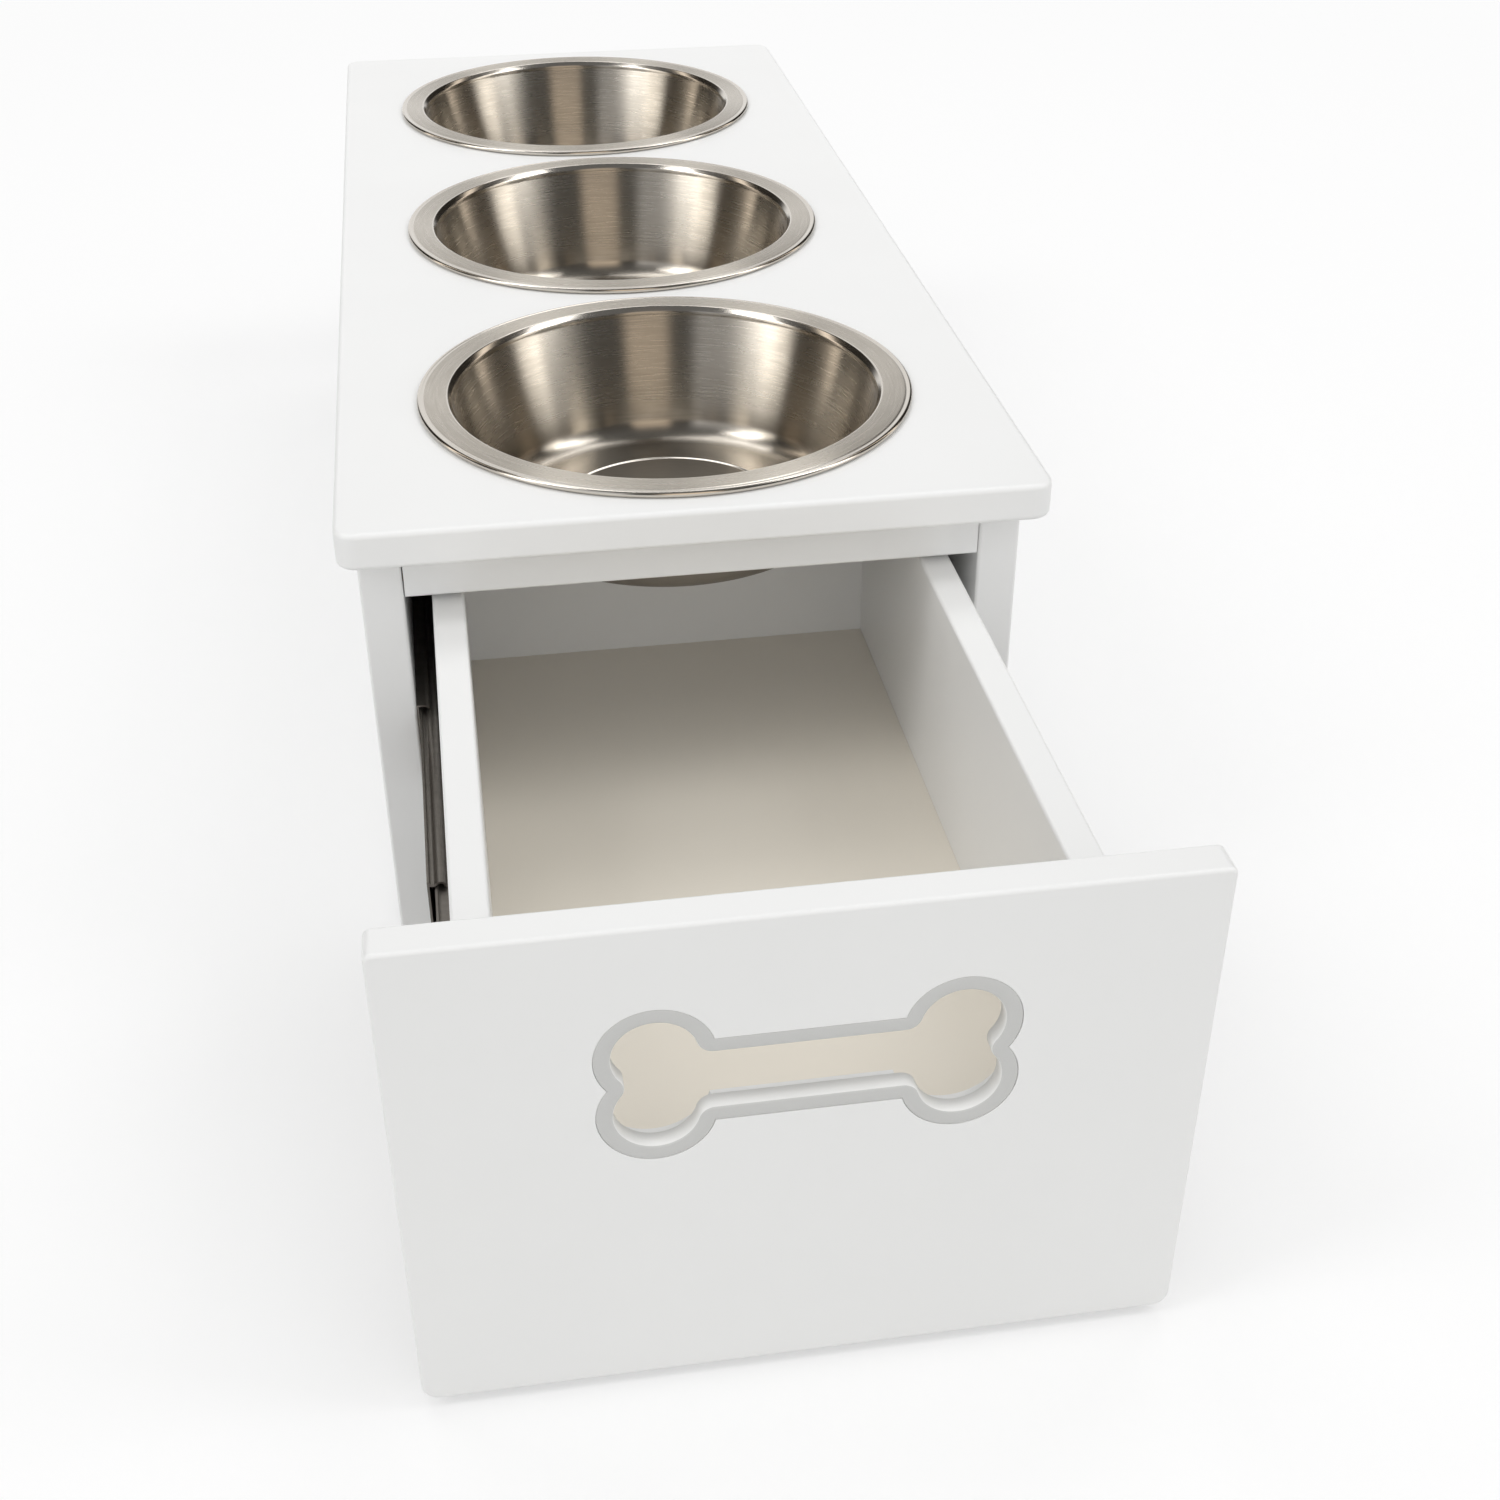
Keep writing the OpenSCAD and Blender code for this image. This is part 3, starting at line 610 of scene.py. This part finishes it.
@dataclass
class Drawer:
    """The drawer's boards, dowels and bumpers."""

    lacquered: tuple[str, ...] = (
        "drawer_front", "drawer_side_left", "drawer_side_right", "drawer_back",
    )

    def build(self) -> None:
        """Dress the drawer's boards, its dowels and its bumpers."""
        dress(WHITE_LACQUER, self.lacquered)
        dress(WHITE_MELAMINE, ("drawer_floor",))
        dress(DOWEL_BEECH, ("drawer_dowels",))
        dress(BUMPER_POLYURETHANE, ("drawer_bumpers",))


@dataclass
class SpunBowl:
    """One bowl, spun from a single disc of steel, with a flat rim and a rolled edge."""

    body: Body
    rim_r: float = 125.0
    mouth_r: float = 109.0
    # Tight bend at the rim's inner edge, then the sloping neck and the bend into the wall
    bend_r: float = 1.2
    neck_l: float = 2.2
    neck_slope: float = 50.0
    lip_r: float = 3.0
    # Fine grooves that the roller leaves at the top of the wall and beside the rolled edge
    groove: float = 0.35
    groove_half: float = 0.6
    # Share of its depth at which the groove beside the rolled edge begins
    groove_start: float = 1 / 6
    edge_r: float = 1.5
    edge_start: float = 125.0
    sheet: float = 1.0
    depth: float = 70.0
    taper: float = 15.0
    bottom_r: float = 14.0
    disc_inset: float = 20.0
    disc_rise: float = 1.5
    disc_bend: float = 2.0
    # A low bead that the follower's edge raises round the disc, inside the bowl alone
    disc_bead: float = 1.2
    turns: int = 256
    arc_steps: int = 14
    # The outside starts this far under the rim. A face belongs to it where it looks away from
    # the axis and not up, or straight enough down
    outside_drop: float = 3.2
    outside_up: float = 0.1
    outside_down: float = -0.5
    finishes: tuple[SpunStainless, ...] = (
        BRUSHED_STAINLESS, DULL_SHADE_PAINTED_STAINLESS, BURNISHED_HIGHLIGHT_STAINLESS, MILL_SHADE_PAINTED_STAINLESS,
    )

    @property
    def bend(self) -> Point2:
        """Centre of the tight bend at the rim's inner edge."""
        return self.mouth_r + self.bend_r, -self.bend_r

    @property
    def lip(self) -> Point2:
        """Centre of the bend from the neck into the wall."""
        slope = math.radians(self.neck_slope)
        face = Vector((-math.sin(slope), math.cos(slope)))
        down = Vector((-math.cos(slope), -math.sin(slope)))
        centre = Vector(self.bend) + face * (self.bend_r - self.lip_r) + down * self.neck_l
        return centre.x, centre.y

    @property
    def lean(self) -> float:
        """Lean of the wall in degrees, from the line that touches the lip and the bottom bend."""
        run_out = self.lip[0] - self.floor_r
        run_up = self.depth + self.lip[1] - self.bottom_r
        reach = math.hypot(run_out, run_up)
        bends = math.asin((self.lip_r + self.bottom_r) / reach)
        return math.degrees(math.atan2(run_out, run_up) - bends)

    @property
    def floor_r(self) -> float:
        """Radius at which the flat floor ends."""
        return self.mouth_r - self.taper - self.bottom_r

    def wall_groove(self) -> list[Point2]:
        """Give the fine groove at the top of the wall, from below upwards.

        Returns:
            Points as radius and height under the rim's top.
        """
        lean = math.radians(self.lean)
        up = Vector((math.sin(lean), math.cos(lean)))
        out = Vector((math.cos(lean), -math.sin(lean)))
        top = Vector(self.lip) - out * self.lip_r
        half = self.groove_half
        rows = ((3 * half, 0.0), (2 * half, self.groove), (half, 0.0))
        return [tuple(top - up * down + out * deep) for down, deep in rows]

    def disc_step(self, drop: float, bead: float) -> list[Point2]:
        """Give the soft step from the raised disc down to the floor.

        Args:
            drop: How far the surface lies below the bowl's inner face.
            bead: Height of the bead that the step adds.

        Returns:
            Points from the disc outwards, as radius and height under the rim.
        """
        middle = self.floor_r - self.disc_inset
        points = []
        for k in range(self.arc_steps + 1):
            share = k / self.arc_steps
            fall = share * share * (3 - 2 * share)
            radius = middle + self.disc_bend * (share - 0.5) * 2
            rise = self.disc_rise * (1 - fall) + bead * math.sin(math.pi * share) ** 2
            points.append((radius, rise - self.depth - drop))
        return points

    def profile(self) -> list[Point2]:
        """Give the closed section of the sheet, from the axis out, round the edge and back.

        Returns:
            Points as radius and height under the rim's top.
        """
        bottom = (self.floor_r, self.bottom_r - self.depth)
        edge = (self.rim_r - self.edge_r, -self.edge_r)
        steps = self.arc_steps
        lean, slope = self.lean, 90 + self.neck_slope
        disc_top = self.disc_rise - self.depth
        curl = math.degrees(math.asin((self.edge_r - self.sheet) / self.edge_r))
        inside = [(0.0, disc_top), *self.disc_step(0.0, self.disc_bead)]
        inside += arc(bottom, self.bottom_r, -90, -lean, steps)
        inside += self.wall_groove()
        inside += arc(self.lip, self.lip_r, 180 - lean, slope, steps)
        inside += arc(self.bend, self.bend_r, slope, 90, steps // 2)
        rolled = arc(edge, self.edge_r, self.edge_start, -180 - curl, 2 * steps)
        start = rolled[0][0]
        flat_end = start - 2 * self.groove_half
        inside += [
            (flat_end - self.groove_half, 0.0), (flat_end, -self.groove * self.groove_start),
            (start - self.groove_half, -self.groove),
        ]
        under = arc(self.bend, self.bend_r - self.sheet, 90, slope, steps // 2)
        under += arc(self.lip, self.lip_r - self.sheet, slope, 180 - lean, steps)
        under += arc(bottom, self.bottom_r + self.sheet, -lean, -90, steps)
        under += [*reversed(self.disc_step(self.sheet, 0.0)), (0.0, disc_top - self.sheet)]
        return inside + rolled + under

    def fill(self, work: WorkMesh) -> None:
        """Turn the section round the axis into the bowl's mesh."""
        skin_loops(work, turned(self.profile(), self.turns), closed=False)

    def finish_at(self, centre: Vector, normal: Vector) -> SpunStainless:
        """Tell which finish a face of the bowl has.

        Args:
            centre: Middle of the face in metres, from the middle of the rim's top.
            normal: Direction that the face looks in.

        Returns:
            Brushed inside; dull outside, darkened with painted shade; burnished where the roller
            has pressed, lightened with a painted highlight; and plain sheet on the disc, darkened
            with painted shade.
        """
        radius, height = math.hypot(centre.x, centre.y) / MM, centre.z / MM
        away = normal.x * centre.x + normal.y * centre.y > 0
        outside = away and normal.z < self.outside_up or normal.z < self.outside_down
        if height < -self.outside_drop and outside:
            return DULL_SHADE_PAINTED_STAINLESS
        from_step = radius - self.floor_r + self.disc_inset
        if from_step < -self.disc_bend:
            return MILL_SHADE_PAINTED_STAINLESS
        step = from_step < self.disc_bend
        neck = radius < self.bend[0] and height > self.lip[1] + self.lip_r / 2
        edge = radius > self.rim_r - 2 * self.edge_r - self.groove_half
        return BURNISHED_HIGHLIGHT_STAINLESS if step or neck or edge else BRUSHED_STAINLESS

    def build(self) -> None:
        """Build the bowl in place of the frame's, on the bowl's own body."""
        node = self.body.value
        low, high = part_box(node)
        origin = Vector(((low.x + high.x) / 2, (low.y + high.y) / 2, high.z))
        bowl = mesh_object(f"{node}_spun", self.fill, origin, self.finishes)
        for face in bowl.data.polygons:
            face.material_index = self.finishes.index(self.finish_at(face.center, face.normal))
        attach(bowl, self.body.value)
        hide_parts(node)
        LOG.info("built %s in place of %s", bowl.name, node)


@dataclass
class GripTrim:
    """The moulded band that lines the bone shaped hand hole."""

    node: str = "grip_trim"
    lobe_reach: float = 56.5
    lobe_spread: float = 13.5
    lobe_r: float = 22.4
    shaft_half: float = 19.7
    width: float = 6.5
    depth: float = 7.0
    outer_ease: float = 0.6
    inner_ease: float = 1.2
    # The foil covers what faces forward at least this much
    foil_slope: float = 0.8
    lobe_steps: int = 40
    corner_steps: int = 8
    ease_steps: int = 4

    def on_lobe(self, angle: float) -> Point2:
        """Give the point of the upper right lobe at an angle in degrees."""
        return arc((self.lobe_reach, self.lobe_spread), self.lobe_r, angle, angle, 1)[0]

    def quarter(self) -> Outline:
        """Give the outline of the bone's upper right quarter, from the shaft to the end notch.

        Returns:
            Points with the direction of their outward normal in degrees. A corner comes
            several times, its normal turning, because the hole runs round it in an arc.
        """
        rise = self.shaft_half - self.lobe_spread
        neck_angle = 180 - math.degrees(math.asin(rise / self.lobe_r))
        notch_angle = -math.degrees(math.asin(self.lobe_spread / self.lobe_r))
        neck, notch = self.on_lobe(neck_angle), self.on_lobe(notch_angle)
        corner, lobe = self.corner_steps, self.lobe_steps
        angles = [neck_angle + (notch_angle - neck_angle) * k / lobe for k in range(lobe + 1)]
        return [
            *((neck, 90 + (neck_angle - 90) * k / corner) for k in range(corner)),
            *((self.on_lobe(angle), angle) for angle in angles),
            *((notch, notch_angle * (1 - k / corner)) for k in range(1, corner + 1)),
        ]

    def outline(self) -> Outline:
        """Give the whole outline of the bone, once round.

        Returns:
            Points with the direction of their outward normal in degrees.
        """
        quarter = self.quarter()
        lower = [((x, -z), -a) for (x, z), a in reversed(quarter)]
        right = quarter + lower
        left = [((-x, z), 180 - a) for (x, z), a in reversed(right)]
        return right + left

    def section(self) -> list[Point2]:
        """Give the band's section, as distance in from its outline and depth from its face."""
        outer, inner, steps = self.outer_ease, self.inner_ease, self.ease_steps
        return [
            (0.0, self.depth),
            *arc((outer, outer), outer, 180, 270, steps),
            *arc((self.width - inner, inner), inner, 270, 360, steps),
            (self.width, self.depth),
        ]

    def fill(self, work: WorkMesh) -> None:
        """Sweep the section round the outline into the band's mesh."""
        loops = []
        for (x, z), degrees in self.outline():
            angle = math.radians(degrees)
            loops.append([
                Vector((x - math.cos(angle) * inset, deep, z - math.sin(angle) * inset)) * MM
                for inset, deep in self.section()
            ])
        skin_loops(work, loops, closed=True)

    def build(self) -> None:
        """Build the band in place of the frame's, flush with the drawer front."""
        low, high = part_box(self.node)
        origin = Vector(((low.x + high.x) / 2, low.y, (low.z + high.z) / 2))
        finishes = (OFF_WHITE_TRIM_ABS, GREY_TRIM_FOIL)
        trim = mesh_object(f"{self.node}_moulded", self.fill, origin, finishes)
        for face in trim.data.polygons:
            if face.normal.y < -self.foil_slope:
                face.material_index = finishes.index(GREY_TRIM_FOIL)
        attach(trim, Body.DRAWER.value)
        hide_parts(self.node)
        LOG.info("built %s in place of %s", trim.name, self.node)


@dataclass
class ScrewSet:
    """One set of equal countersunk screws with a cross recess and a rolled thread."""

    node: str
    body: Body
    axis: Axis
    head_r: float = 3.5
    head_h: float = 2.0
    # How far the head's edge is eased, inwards and down
    head_ease: Point2 = (0.15, 0.12)
    shank_r: float = 1.8
    tip: float = 3.0
    recess_reach: float = 1.9
    recess_width: float = 0.55
    recess_depth: float = 1.3
    # Share of its size that the recess keeps at its bottom, and how far its cutter stands out
    recess_taper: float = 0.45
    recess_over: float = 0.2
    thread_start: float = 0.3
    thread_pitch: float = 1.6
    thread_rise: float = 0.35
    # Shares of the pitch at which the thread rises, peaks and has fallen
    thread_form: tuple[float, float, float] = (0.6, 0.75, 0.9)
    turns: int = 32
    # Radians from one recess to the next: nobody lines them up
    spin: float = 0.7
    # Edges of more degrees than this show sharp
    sharp_angle: float = 30.0
    # Points this near to the low end belong to its face
    end_slack: float = 0.1

    def places(self) -> list[tuple[Vector, float, float]]:
        """Find the screws of the frame's node.

        Returns:
            For each screw the middle of its head's face in metres, the way it points along
            its axis, as 1 or -1, and its length in millimetres.
        """
        source = bmesh.new()
        source.from_mesh(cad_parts[self.node].data)
        bmesh.ops.remove_doubles(source, verts=source.verts, dist=WELD)
        found = []
        left = set(source.verts)
        while left:
            screw, edge = [], [left.pop()]
            while edge:
                vert = edge.pop()
                screw.append(vert.co.copy())
                linked = left & {link.other_vert(vert) for link in vert.link_edges}
                left -= linked
                edge += linked
            found.append(self.measure(screw))
        source.free()
        # Rounded to 0.1 mm, so that every run counts the screws in the same order
        return sorted(found, key=lambda place: tuple(round(c, 4) for c in place[0]))

    def measure(self, points: list[Vector]) -> tuple[Vector, float, float]:
        """Measure one screw from its points.

        Args:
            points: Points of the screw in metres.

        Returns:
            The middle of its head's face, the way it points and its length in millimetres.
        """
        along = self.axis.value
        low = Vector(min(p[k] for p in points) for k in range(3))
        high = Vector(max(p[k] for p in points) for k in range(3))
        face = (low + high) / 2
        spread = max(
            math.hypot(*(p[k] - face[k] for k in range(3) if k != along))
            for p in points if p[along] - low[along] < self.end_slack * MM
        )
        head_low = spread > self.head_r * MM / 2
        face[along] = low[along] if head_low else high[along]
        return face, 1.0 if head_low else -1.0, (high[along] - low[along]) / MM

    def solid(self, length: float) -> bpy.types.Mesh:
        """Make one screw along +Z with its head's face at the origin.

        Args:
            length: Length of the screw in millimetres.

        Returns:
            The screw's mesh in metres.
        """
        inwards, down = self.head_ease
        section: list[Point2] = [
            (0.0, 0.0), (self.head_r - inwards, 0.0), (self.head_r, down),
            (self.shank_r, self.head_h),
        ]
        core = self.shank_r - self.thread_rise
        rise, peak, fall = (self.thread_pitch * share for share in self.thread_form)
        for k in range(int((length - self.head_h - self.tip) / self.thread_pitch)):
            start = self.head_h + self.thread_start + k * self.thread_pitch
            section += [
                (core, start), (core, start + rise), (self.shank_r, start + peak),
                (core, start + fall),
            ]
        section += [(core, length - self.tip), (0.0, length)]
        work = bmesh.new()
        skin_loops(work, turned(section, self.turns), closed=False)
        return self.recessed(welded(work, f"{self.node}_blank"))

    def recessed(self, blank: bpy.types.Mesh) -> bpy.types.Mesh:
        """Cut the cross recess into a blank screw.

        Args:
            blank: Screw without a recess.

        Returns:
            The finished screw's mesh.
        """
        cutter = bmesh.new()
        for turn in (0.0, math.pi / 2):
            for vert in bmesh.ops.create_cube(cutter, size=1.0)["verts"]:
                deep = vert.co.z > 0
                shrink = self.recess_taper if deep else 1.0
                place = Vector((
                    vert.co.x * 2 * self.recess_reach * shrink,
                    vert.co.y * 2 * self.recess_width * shrink,
                    self.recess_depth if deep else -self.recess_over,
                ))
                vert.co = Matrix.Rotation(turn, 3, "Z") @ place * MM
        cutter_mesh = bpy.data.meshes.new(f"{self.node}_cutter")
        cutter.to_mesh(cutter_mesh)
        cutter.free()
        tool = link_object(cutter_mesh.name, cutter_mesh)
        work = link_object(blank.name, blank)
        cut = work.modifiers.new("recess", "BOOLEAN")
        cut.operation = "DIFFERENCE"
        cut.solver = "EXACT"
        cut.use_self = True
        cut.object = tool
        depsgraph = bpy.context.evaluated_depsgraph_get()
        done = bpy.data.meshes.new_from_object(work.evaluated_get(depsgraph))
        for made in (tool, work):
            bpy.data.objects.remove(made)
        return done

    def build(self) -> None:
        """Build the screws in place of the frame's, all in one object."""
        places = self.places()
        solid = self.solid(places[0][2])
        lie = Matrix.Rotation(math.pi / 2, 4, "Y") if self.axis is Axis.X else Matrix.Identity(4)

        def fill(work: WorkMesh) -> None:
            """Copy the one screw to each place, its recess turned a little each time."""
            for number, (face, way, _) in enumerate(places):
                flip = Matrix.Identity(4) if way > 0 else Matrix.Rotation(math.pi, 4, "X")
                spin = Matrix.Rotation(number * self.spin, 4, "Z")
                copy = solid.copy()
                copy.transform(Matrix.Translation(face) @ lie @ flip @ spin)
                work.from_mesh(copy)
                bpy.data.meshes.remove(copy)

        screws = mesh_object(f"{self.node}_cross", fill, Vector(), (ZINC_PLATED_STEEL,))
        screws.data.set_sharp_from_angle(angle=math.radians(self.sharp_angle))
        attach(screws, self.body.value)
        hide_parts(self.node)
        LOG.info("built %s: %d screws", screws.name, len(places))


# Studio


# Rays that metal mirrors or glass lets through
MIRRORED_RAYS = ("Is Glossy Ray", "Is Transmission Ray")


def rays(tree: Tree, *kinds: str) -> Socket:
    """Tell the rays of some kinds from all others.

    Args:
        tree: Node tree of the world or of the floor.
        *kinds: Names of the rays' outputs on the light path node.

    Returns:
        Output that is 1 for these rays and 0 for all others.
    """
    path = add_node(tree, "LightPath")
    found = path.outputs[kinds[0]]
    for kind in kinds[1:]:
        both = add_node(tree, "Math", {0: found, 1: path.outputs[kind]}, operation="MAXIMUM")
        found = both.outputs[0]
    return found


@dataclass
class Softbox:
    """One soft lamp of the studio, aimed at the feeder, with its lengths in metres."""

    name: str
    azimuth: float
    elevation: float
    width: float
    height: float
    power: float
    distance: float = 5.0
    colour: str = WHITE
    aim: Point3 = (0.0, -0.1, 0.15)

    def hang(self) -> None:
        """Hang the lamp at its place, hidden from the camera but not from the metal."""
        lamp = bpy.data.lights.new(self.name, "AREA")
        lamp.shape = "RECTANGLE"
        lamp.size = self.width
        lamp.size_y = self.height
        lamp.energy = self.power
        lamp.color = linear(self.colour)[:3]
        made = link_object(self.name, lamp)
        turn, lift = math.radians(self.azimuth), math.radians(self.elevation)
        way = Vector((
            math.sin(turn) * math.cos(lift), -math.cos(turn) * math.cos(lift), math.sin(lift)
        ))
        made.location = Vector(self.aim) + way * self.distance
        made.rotation_euler = (-way).to_track_quat("-Z", "Y").to_euler()
        made.visible_camera = False
        LOG.info("hung %s", self.name)


@dataclass
class Studio:
    """Camera, lamps, surround and floor."""

    # Camera in the model's own frame, fitted to the edges in the picture
    camera_mm: Point3 = (-106.32, -1070.47, 651.85)
    yaw: float = 9.077
    pitch: float = 33.388
    roll: float = -0.105
    focal_px: float = 1981.77
    image_px: float = 1500.0
    sensor_mm: float = 36.0
    floor_m: float = 24.0
    white: float = 0.985
    # Brightness that the lamps give the floor, and its own, so that shadows stay soft
    floor_lit: float = 0.58
    floor_glow: float = 0.42
    # Even light from all round, four times as bright from the camera's side as from behind,
    # and Y of the two directions between which it changes
    sky_front: float = 1.0
    sky_behind: float = 0.24
    sky_change: Span = (-0.8, 0.6)
    softboxes: tuple[Softbox, ...] = field(default_factory=lambda: (
        Softbox("left_rear_softbox", -144.0, 68.0, 2.2, 2.0, 31.0),
        Softbox("right_rear_softbox", 142.0, 59.0, 2.2, 2.1, 31.0),
        Softbox("left_front_softbox", -72.0, 48.0, 1.4, 2.2, 40.0),
        Softbox("right_front_softbox", 74.0, 48.0, 1.4, 2.2, 32.0),
    ))
    # Cards that metal mirrors: azimuths of their ends from the picture's side, colour, and
    # brightness at both ends. Bright strips stand at about 75 degrees, weaker ones at about
    # 115, a cool card on the left, a warm one beside the camera, dark ones between them, and
    # the white sweep behind the feeder
    cards: tuple[tuple[float, float, str, float, float], ...] = (
        (-180, -161, WHITE, 1.0, 1.0), (-153, -121, "#EADCCB", 0.04, 0.03),
        (-118, -114, "#FFF2E2", 1.9, 1.9), (-111, -86, "#EADCCB", 0.02, 0.04),
        (-81, -69, "#FFFBF5", 3.0, 3.0), (-62, -28, "#F6F7FA", 0.62, 0.8),
        (-21, -12, "#F6F2EC", 0.07, 0.07), (-6, 14, "#FFEDD8", 1.05, 1.05),
        (19, 40, "#F6F2EC", 0.07, 0.08), (50, 66, "#FBF6F0", 0.12, 0.12),
        (71, 81, "#FFFBF5", 3.1, 3.1), (87, 109, "#EADCCB", 0.04, 0.02),
        (112, 116, "#FFF2E2", 1.6, 1.6), (119, 153, "#EADCCB", 0.02, 0.04),
        (161, 180, WHITE, 1.0, 1.0),
    )
    ceiling: float = 0.14
    # Z of the directions at which the cards begin to end and have ended, and how much higher
    # the sweep reaches
    card_top: Span = (0.4, 0.9)
    sweep_share: float = 0.3

    def set_camera(self) -> None:
        """Set the camera where the picture was taken from."""
        lens = bpy.data.cameras.new("picture_camera")
        lens.sensor_width = self.sensor_mm
        lens.lens = self.sensor_mm * self.focal_px / self.image_px
        camera = link_object("picture_camera", lens)
        camera.matrix_world = (
            Matrix.Translation(Vector(self.camera_mm) * MM)
            @ Matrix.Rotation(math.radians(-self.yaw), 4, "Z")
            @ Matrix.Rotation(math.radians(90 - self.pitch), 4, "X")
            @ Matrix.Rotation(math.radians(self.roll), 4, "Z")
        )
        bpy.context.scene.camera = camera

    def draw_cards(self, tree: Tree, way: Node) -> Node:
        """Draw the cards round the feeder, with the dim ceiling over them.

        Args:
            tree: Node tree of the world.
            way: Node that gives X, Y and Z of the way that a ray goes.

        Returns:
            Background that metal mirrors.
        """
        front = add_node(tree, "Math", {0: way.outputs["Y"], 1: -1.0}, operation="MULTIPLY")
        turn = add_node(tree, "Math", {0: way.outputs["X"], 1: front}, operation="ARCTAN2")
        around = {"Value": turn, "From Min": -math.pi, "From Max": math.pi}
        share = add_node(tree, "MapRange", around)
        ring = add_node(tree, "ValToRGB", {"Fac": share})
        ends = [
            end for start, stop, colour, first, last in self.cards
            for end in ((start, colour, first), (stop, colour, last))
        ]
        peak = max(level for _, _, level in ends)
        stops = ring.color_ramp.elements
        while len(stops) < len(ends):
            stops.new(1.0)
        for stop, (azimuth, colour, level) in zip(stops, ends):
            stop.position = (azimuth + 180) / 360
            stop.color = [part * level / peak for part in linear(colour)[:3]] + [1.0]
        behind = add_node(tree, "Math", {0: way.outputs["Y"], 1: 0.0}, operation="MAXIMUM")
        # The sweep behind the feeder stands higher than the cards round it
        above = add_node(
            tree, "Math", {0: behind, 1: -self.sweep_share, 2: way.outputs["Z"]},
            operation="MULTIPLY_ADD",
        )
        low, high = self.card_top
        overhead = add_node(
            tree, "MapRange", {"Value": above, "From Min": low, "From Max": high},
            interpolation_type="SMOOTHSTEP",
        )
        dim = [self.ceiling / peak] * 3 + [1.0]
        room = add_node(tree, "Mix", {0: overhead, MIX_A: ring, MIX_B: dim}, data_type="RGBA")
        return add_node(tree, "Background", {"Color": room.outputs[MIX_OUT], "Strength": peak})

    def set_world(self) -> None:
        """Set the surround: an even pale light, and a studio that only metal mirrors."""
        world = bpy.data.worlds.new("studio_surround")
        bpy.context.scene.world = world
        world.use_nodes = True
        tree = world.node_tree
        tree.nodes.clear()
        way = add_node(tree, "SeparateXYZ", {0: add_node(tree, "TexCoord").outputs["Generated"]})
        front, behind = self.sky_change
        bright = add_node(
            tree, "MapRange",
            {
                "Value": way.outputs["Y"], "From Min": front, "From Max": behind,
                "To Min": self.sky_front, "To Max": self.sky_behind,
            },
            interpolation_type="SMOOTHSTEP",
        )
        light = add_node(tree, "Background", {"Color": linear(WHITE), "Strength": bright})
        backdrop = add_node(tree, "Background", {"Color": linear(WHITE), "Strength": self.white})
        room = self.draw_cards(tree, way)
        lit = add_node(tree, "MixShader", {0: rays(tree, *MIRRORED_RAYS), 1: light, 2: room})
        shown = add_node(tree, "MixShader", {0: rays(tree, "Is Camera Ray"), 1: lit, 2: backdrop})
        add_node(tree, "OutputWorld", {"Surface": shown})

    def lay_floor(self) -> None:
        """Lay the plain white floor, which keeps the feeder's soft shadow."""
        half = self.floor_m / 2

        def fill(work: WorkMesh) -> None:
            """Add the floor's one face."""
            corners = ((-half, -half), (half, -half), (half, half), (-half, half))
            work.faces.new([work.verts.new((x, y, 0.0)) for x, y in corners])

        paper = StudioPaper("white_studio_paper", self)
        floor = mesh_object("studio_floor", fill, Vector(), (paper,))

    def build(self) -> None:
        """Set up the camera, the surround, the floor and the lamps."""
        bpy.context.scene.view_settings.view_transform = "Standard"
        self.set_camera()
        self.set_world()
        self.lay_floor()
        for softbox in self.softboxes:
            softbox.hang()


@dataclass(frozen=True)
class StudioPaper(Finish):
    """Matt white background paper.

    The camera and the metal see it as clean white that keeps the soft shadow, and that turns
    into the white sweep further away.
    """

    studio: Studio
    colour: str = "#DCDCDB"
    # Distances from the feeder between which the floor turns into the white sweep
    fade_m: Span = (1.3, 2.8)

    def surface(self, tree: Tree) -> Node:
        """Draw the paper.

        Args:
            tree: Node tree of the material.

        Returns:
            Its shader.
        """
        studio = self.studio
        # What the rays that carry light meet
        plain = add_node(tree, "BsdfPrincipled", {
            "Base Color": linear(self.colour), "Roughness": 1.0, "Specular IOR Level": 0.0
        })
        lit = [studio.floor_lit] * 3 + [1.0]
        paper = add_node(tree, "BsdfDiffuse", {"Color": lit})
        glow = add_node(tree, "Emission", {"Color": linear(WHITE), "Strength": studio.floor_glow})
        near = add_node(tree, "AddShader", {0: paper, 1: glow})
        place = add_node(tree, "TexCoord").outputs["Object"]
        away = add_node(tree, "VectorMath", {0: place}, operation="LENGTH").outputs["Value"]
        start, end = self.fade_m
        fade = add_node(
            tree, "MapRange", {"Value": away, "From Min": start, "From Max": end},
            interpolation_type="SMOOTHSTEP",
        )
        sweep = add_node(tree, "Emission", {"Color": linear(WHITE), "Strength": studio.white})
        shown = add_node(tree, "MixShader", {0: fade, 1: near, 2: sweep})
        seen = rays(tree, *MIRRORED_RAYS, "Is Camera Ray")
        return add_node(tree, "MixShader", {0: seen, 1: plain, 2: shown})


def main() -> None:
    """Build the studio and each sub-assembly in order, and report every piece."""
    logging.basicConfig(level=logging.INFO, format="%(name)s: %(message)s")
    Studio().build()
    Carcass().build()
    Slides().build()
    Drawer().build()
    GripTrim().build()
    for body in (Body.BOWL_FRONT, Body.BOWL_MIDDLE, Body.BOWL_REAR):
        SpunBowl(body).build()
    for screws in (
        ScrewSet("bracket_screws", Body.FRAME, Axis.Z),
        ScrewSet("base_screws", Body.FRAME, Axis.Z),
        ScrewSet("frame_slide_screws", Body.FRAME, Axis.X),
        ScrewSet("drawer_slide_screws", Body.DRAWER, Axis.X),
        ScrewSet("drawer_floor_screws", Body.DRAWER, Axis.Z),
    ):
        screws.build()


if __name__ == "__main__":
    main()
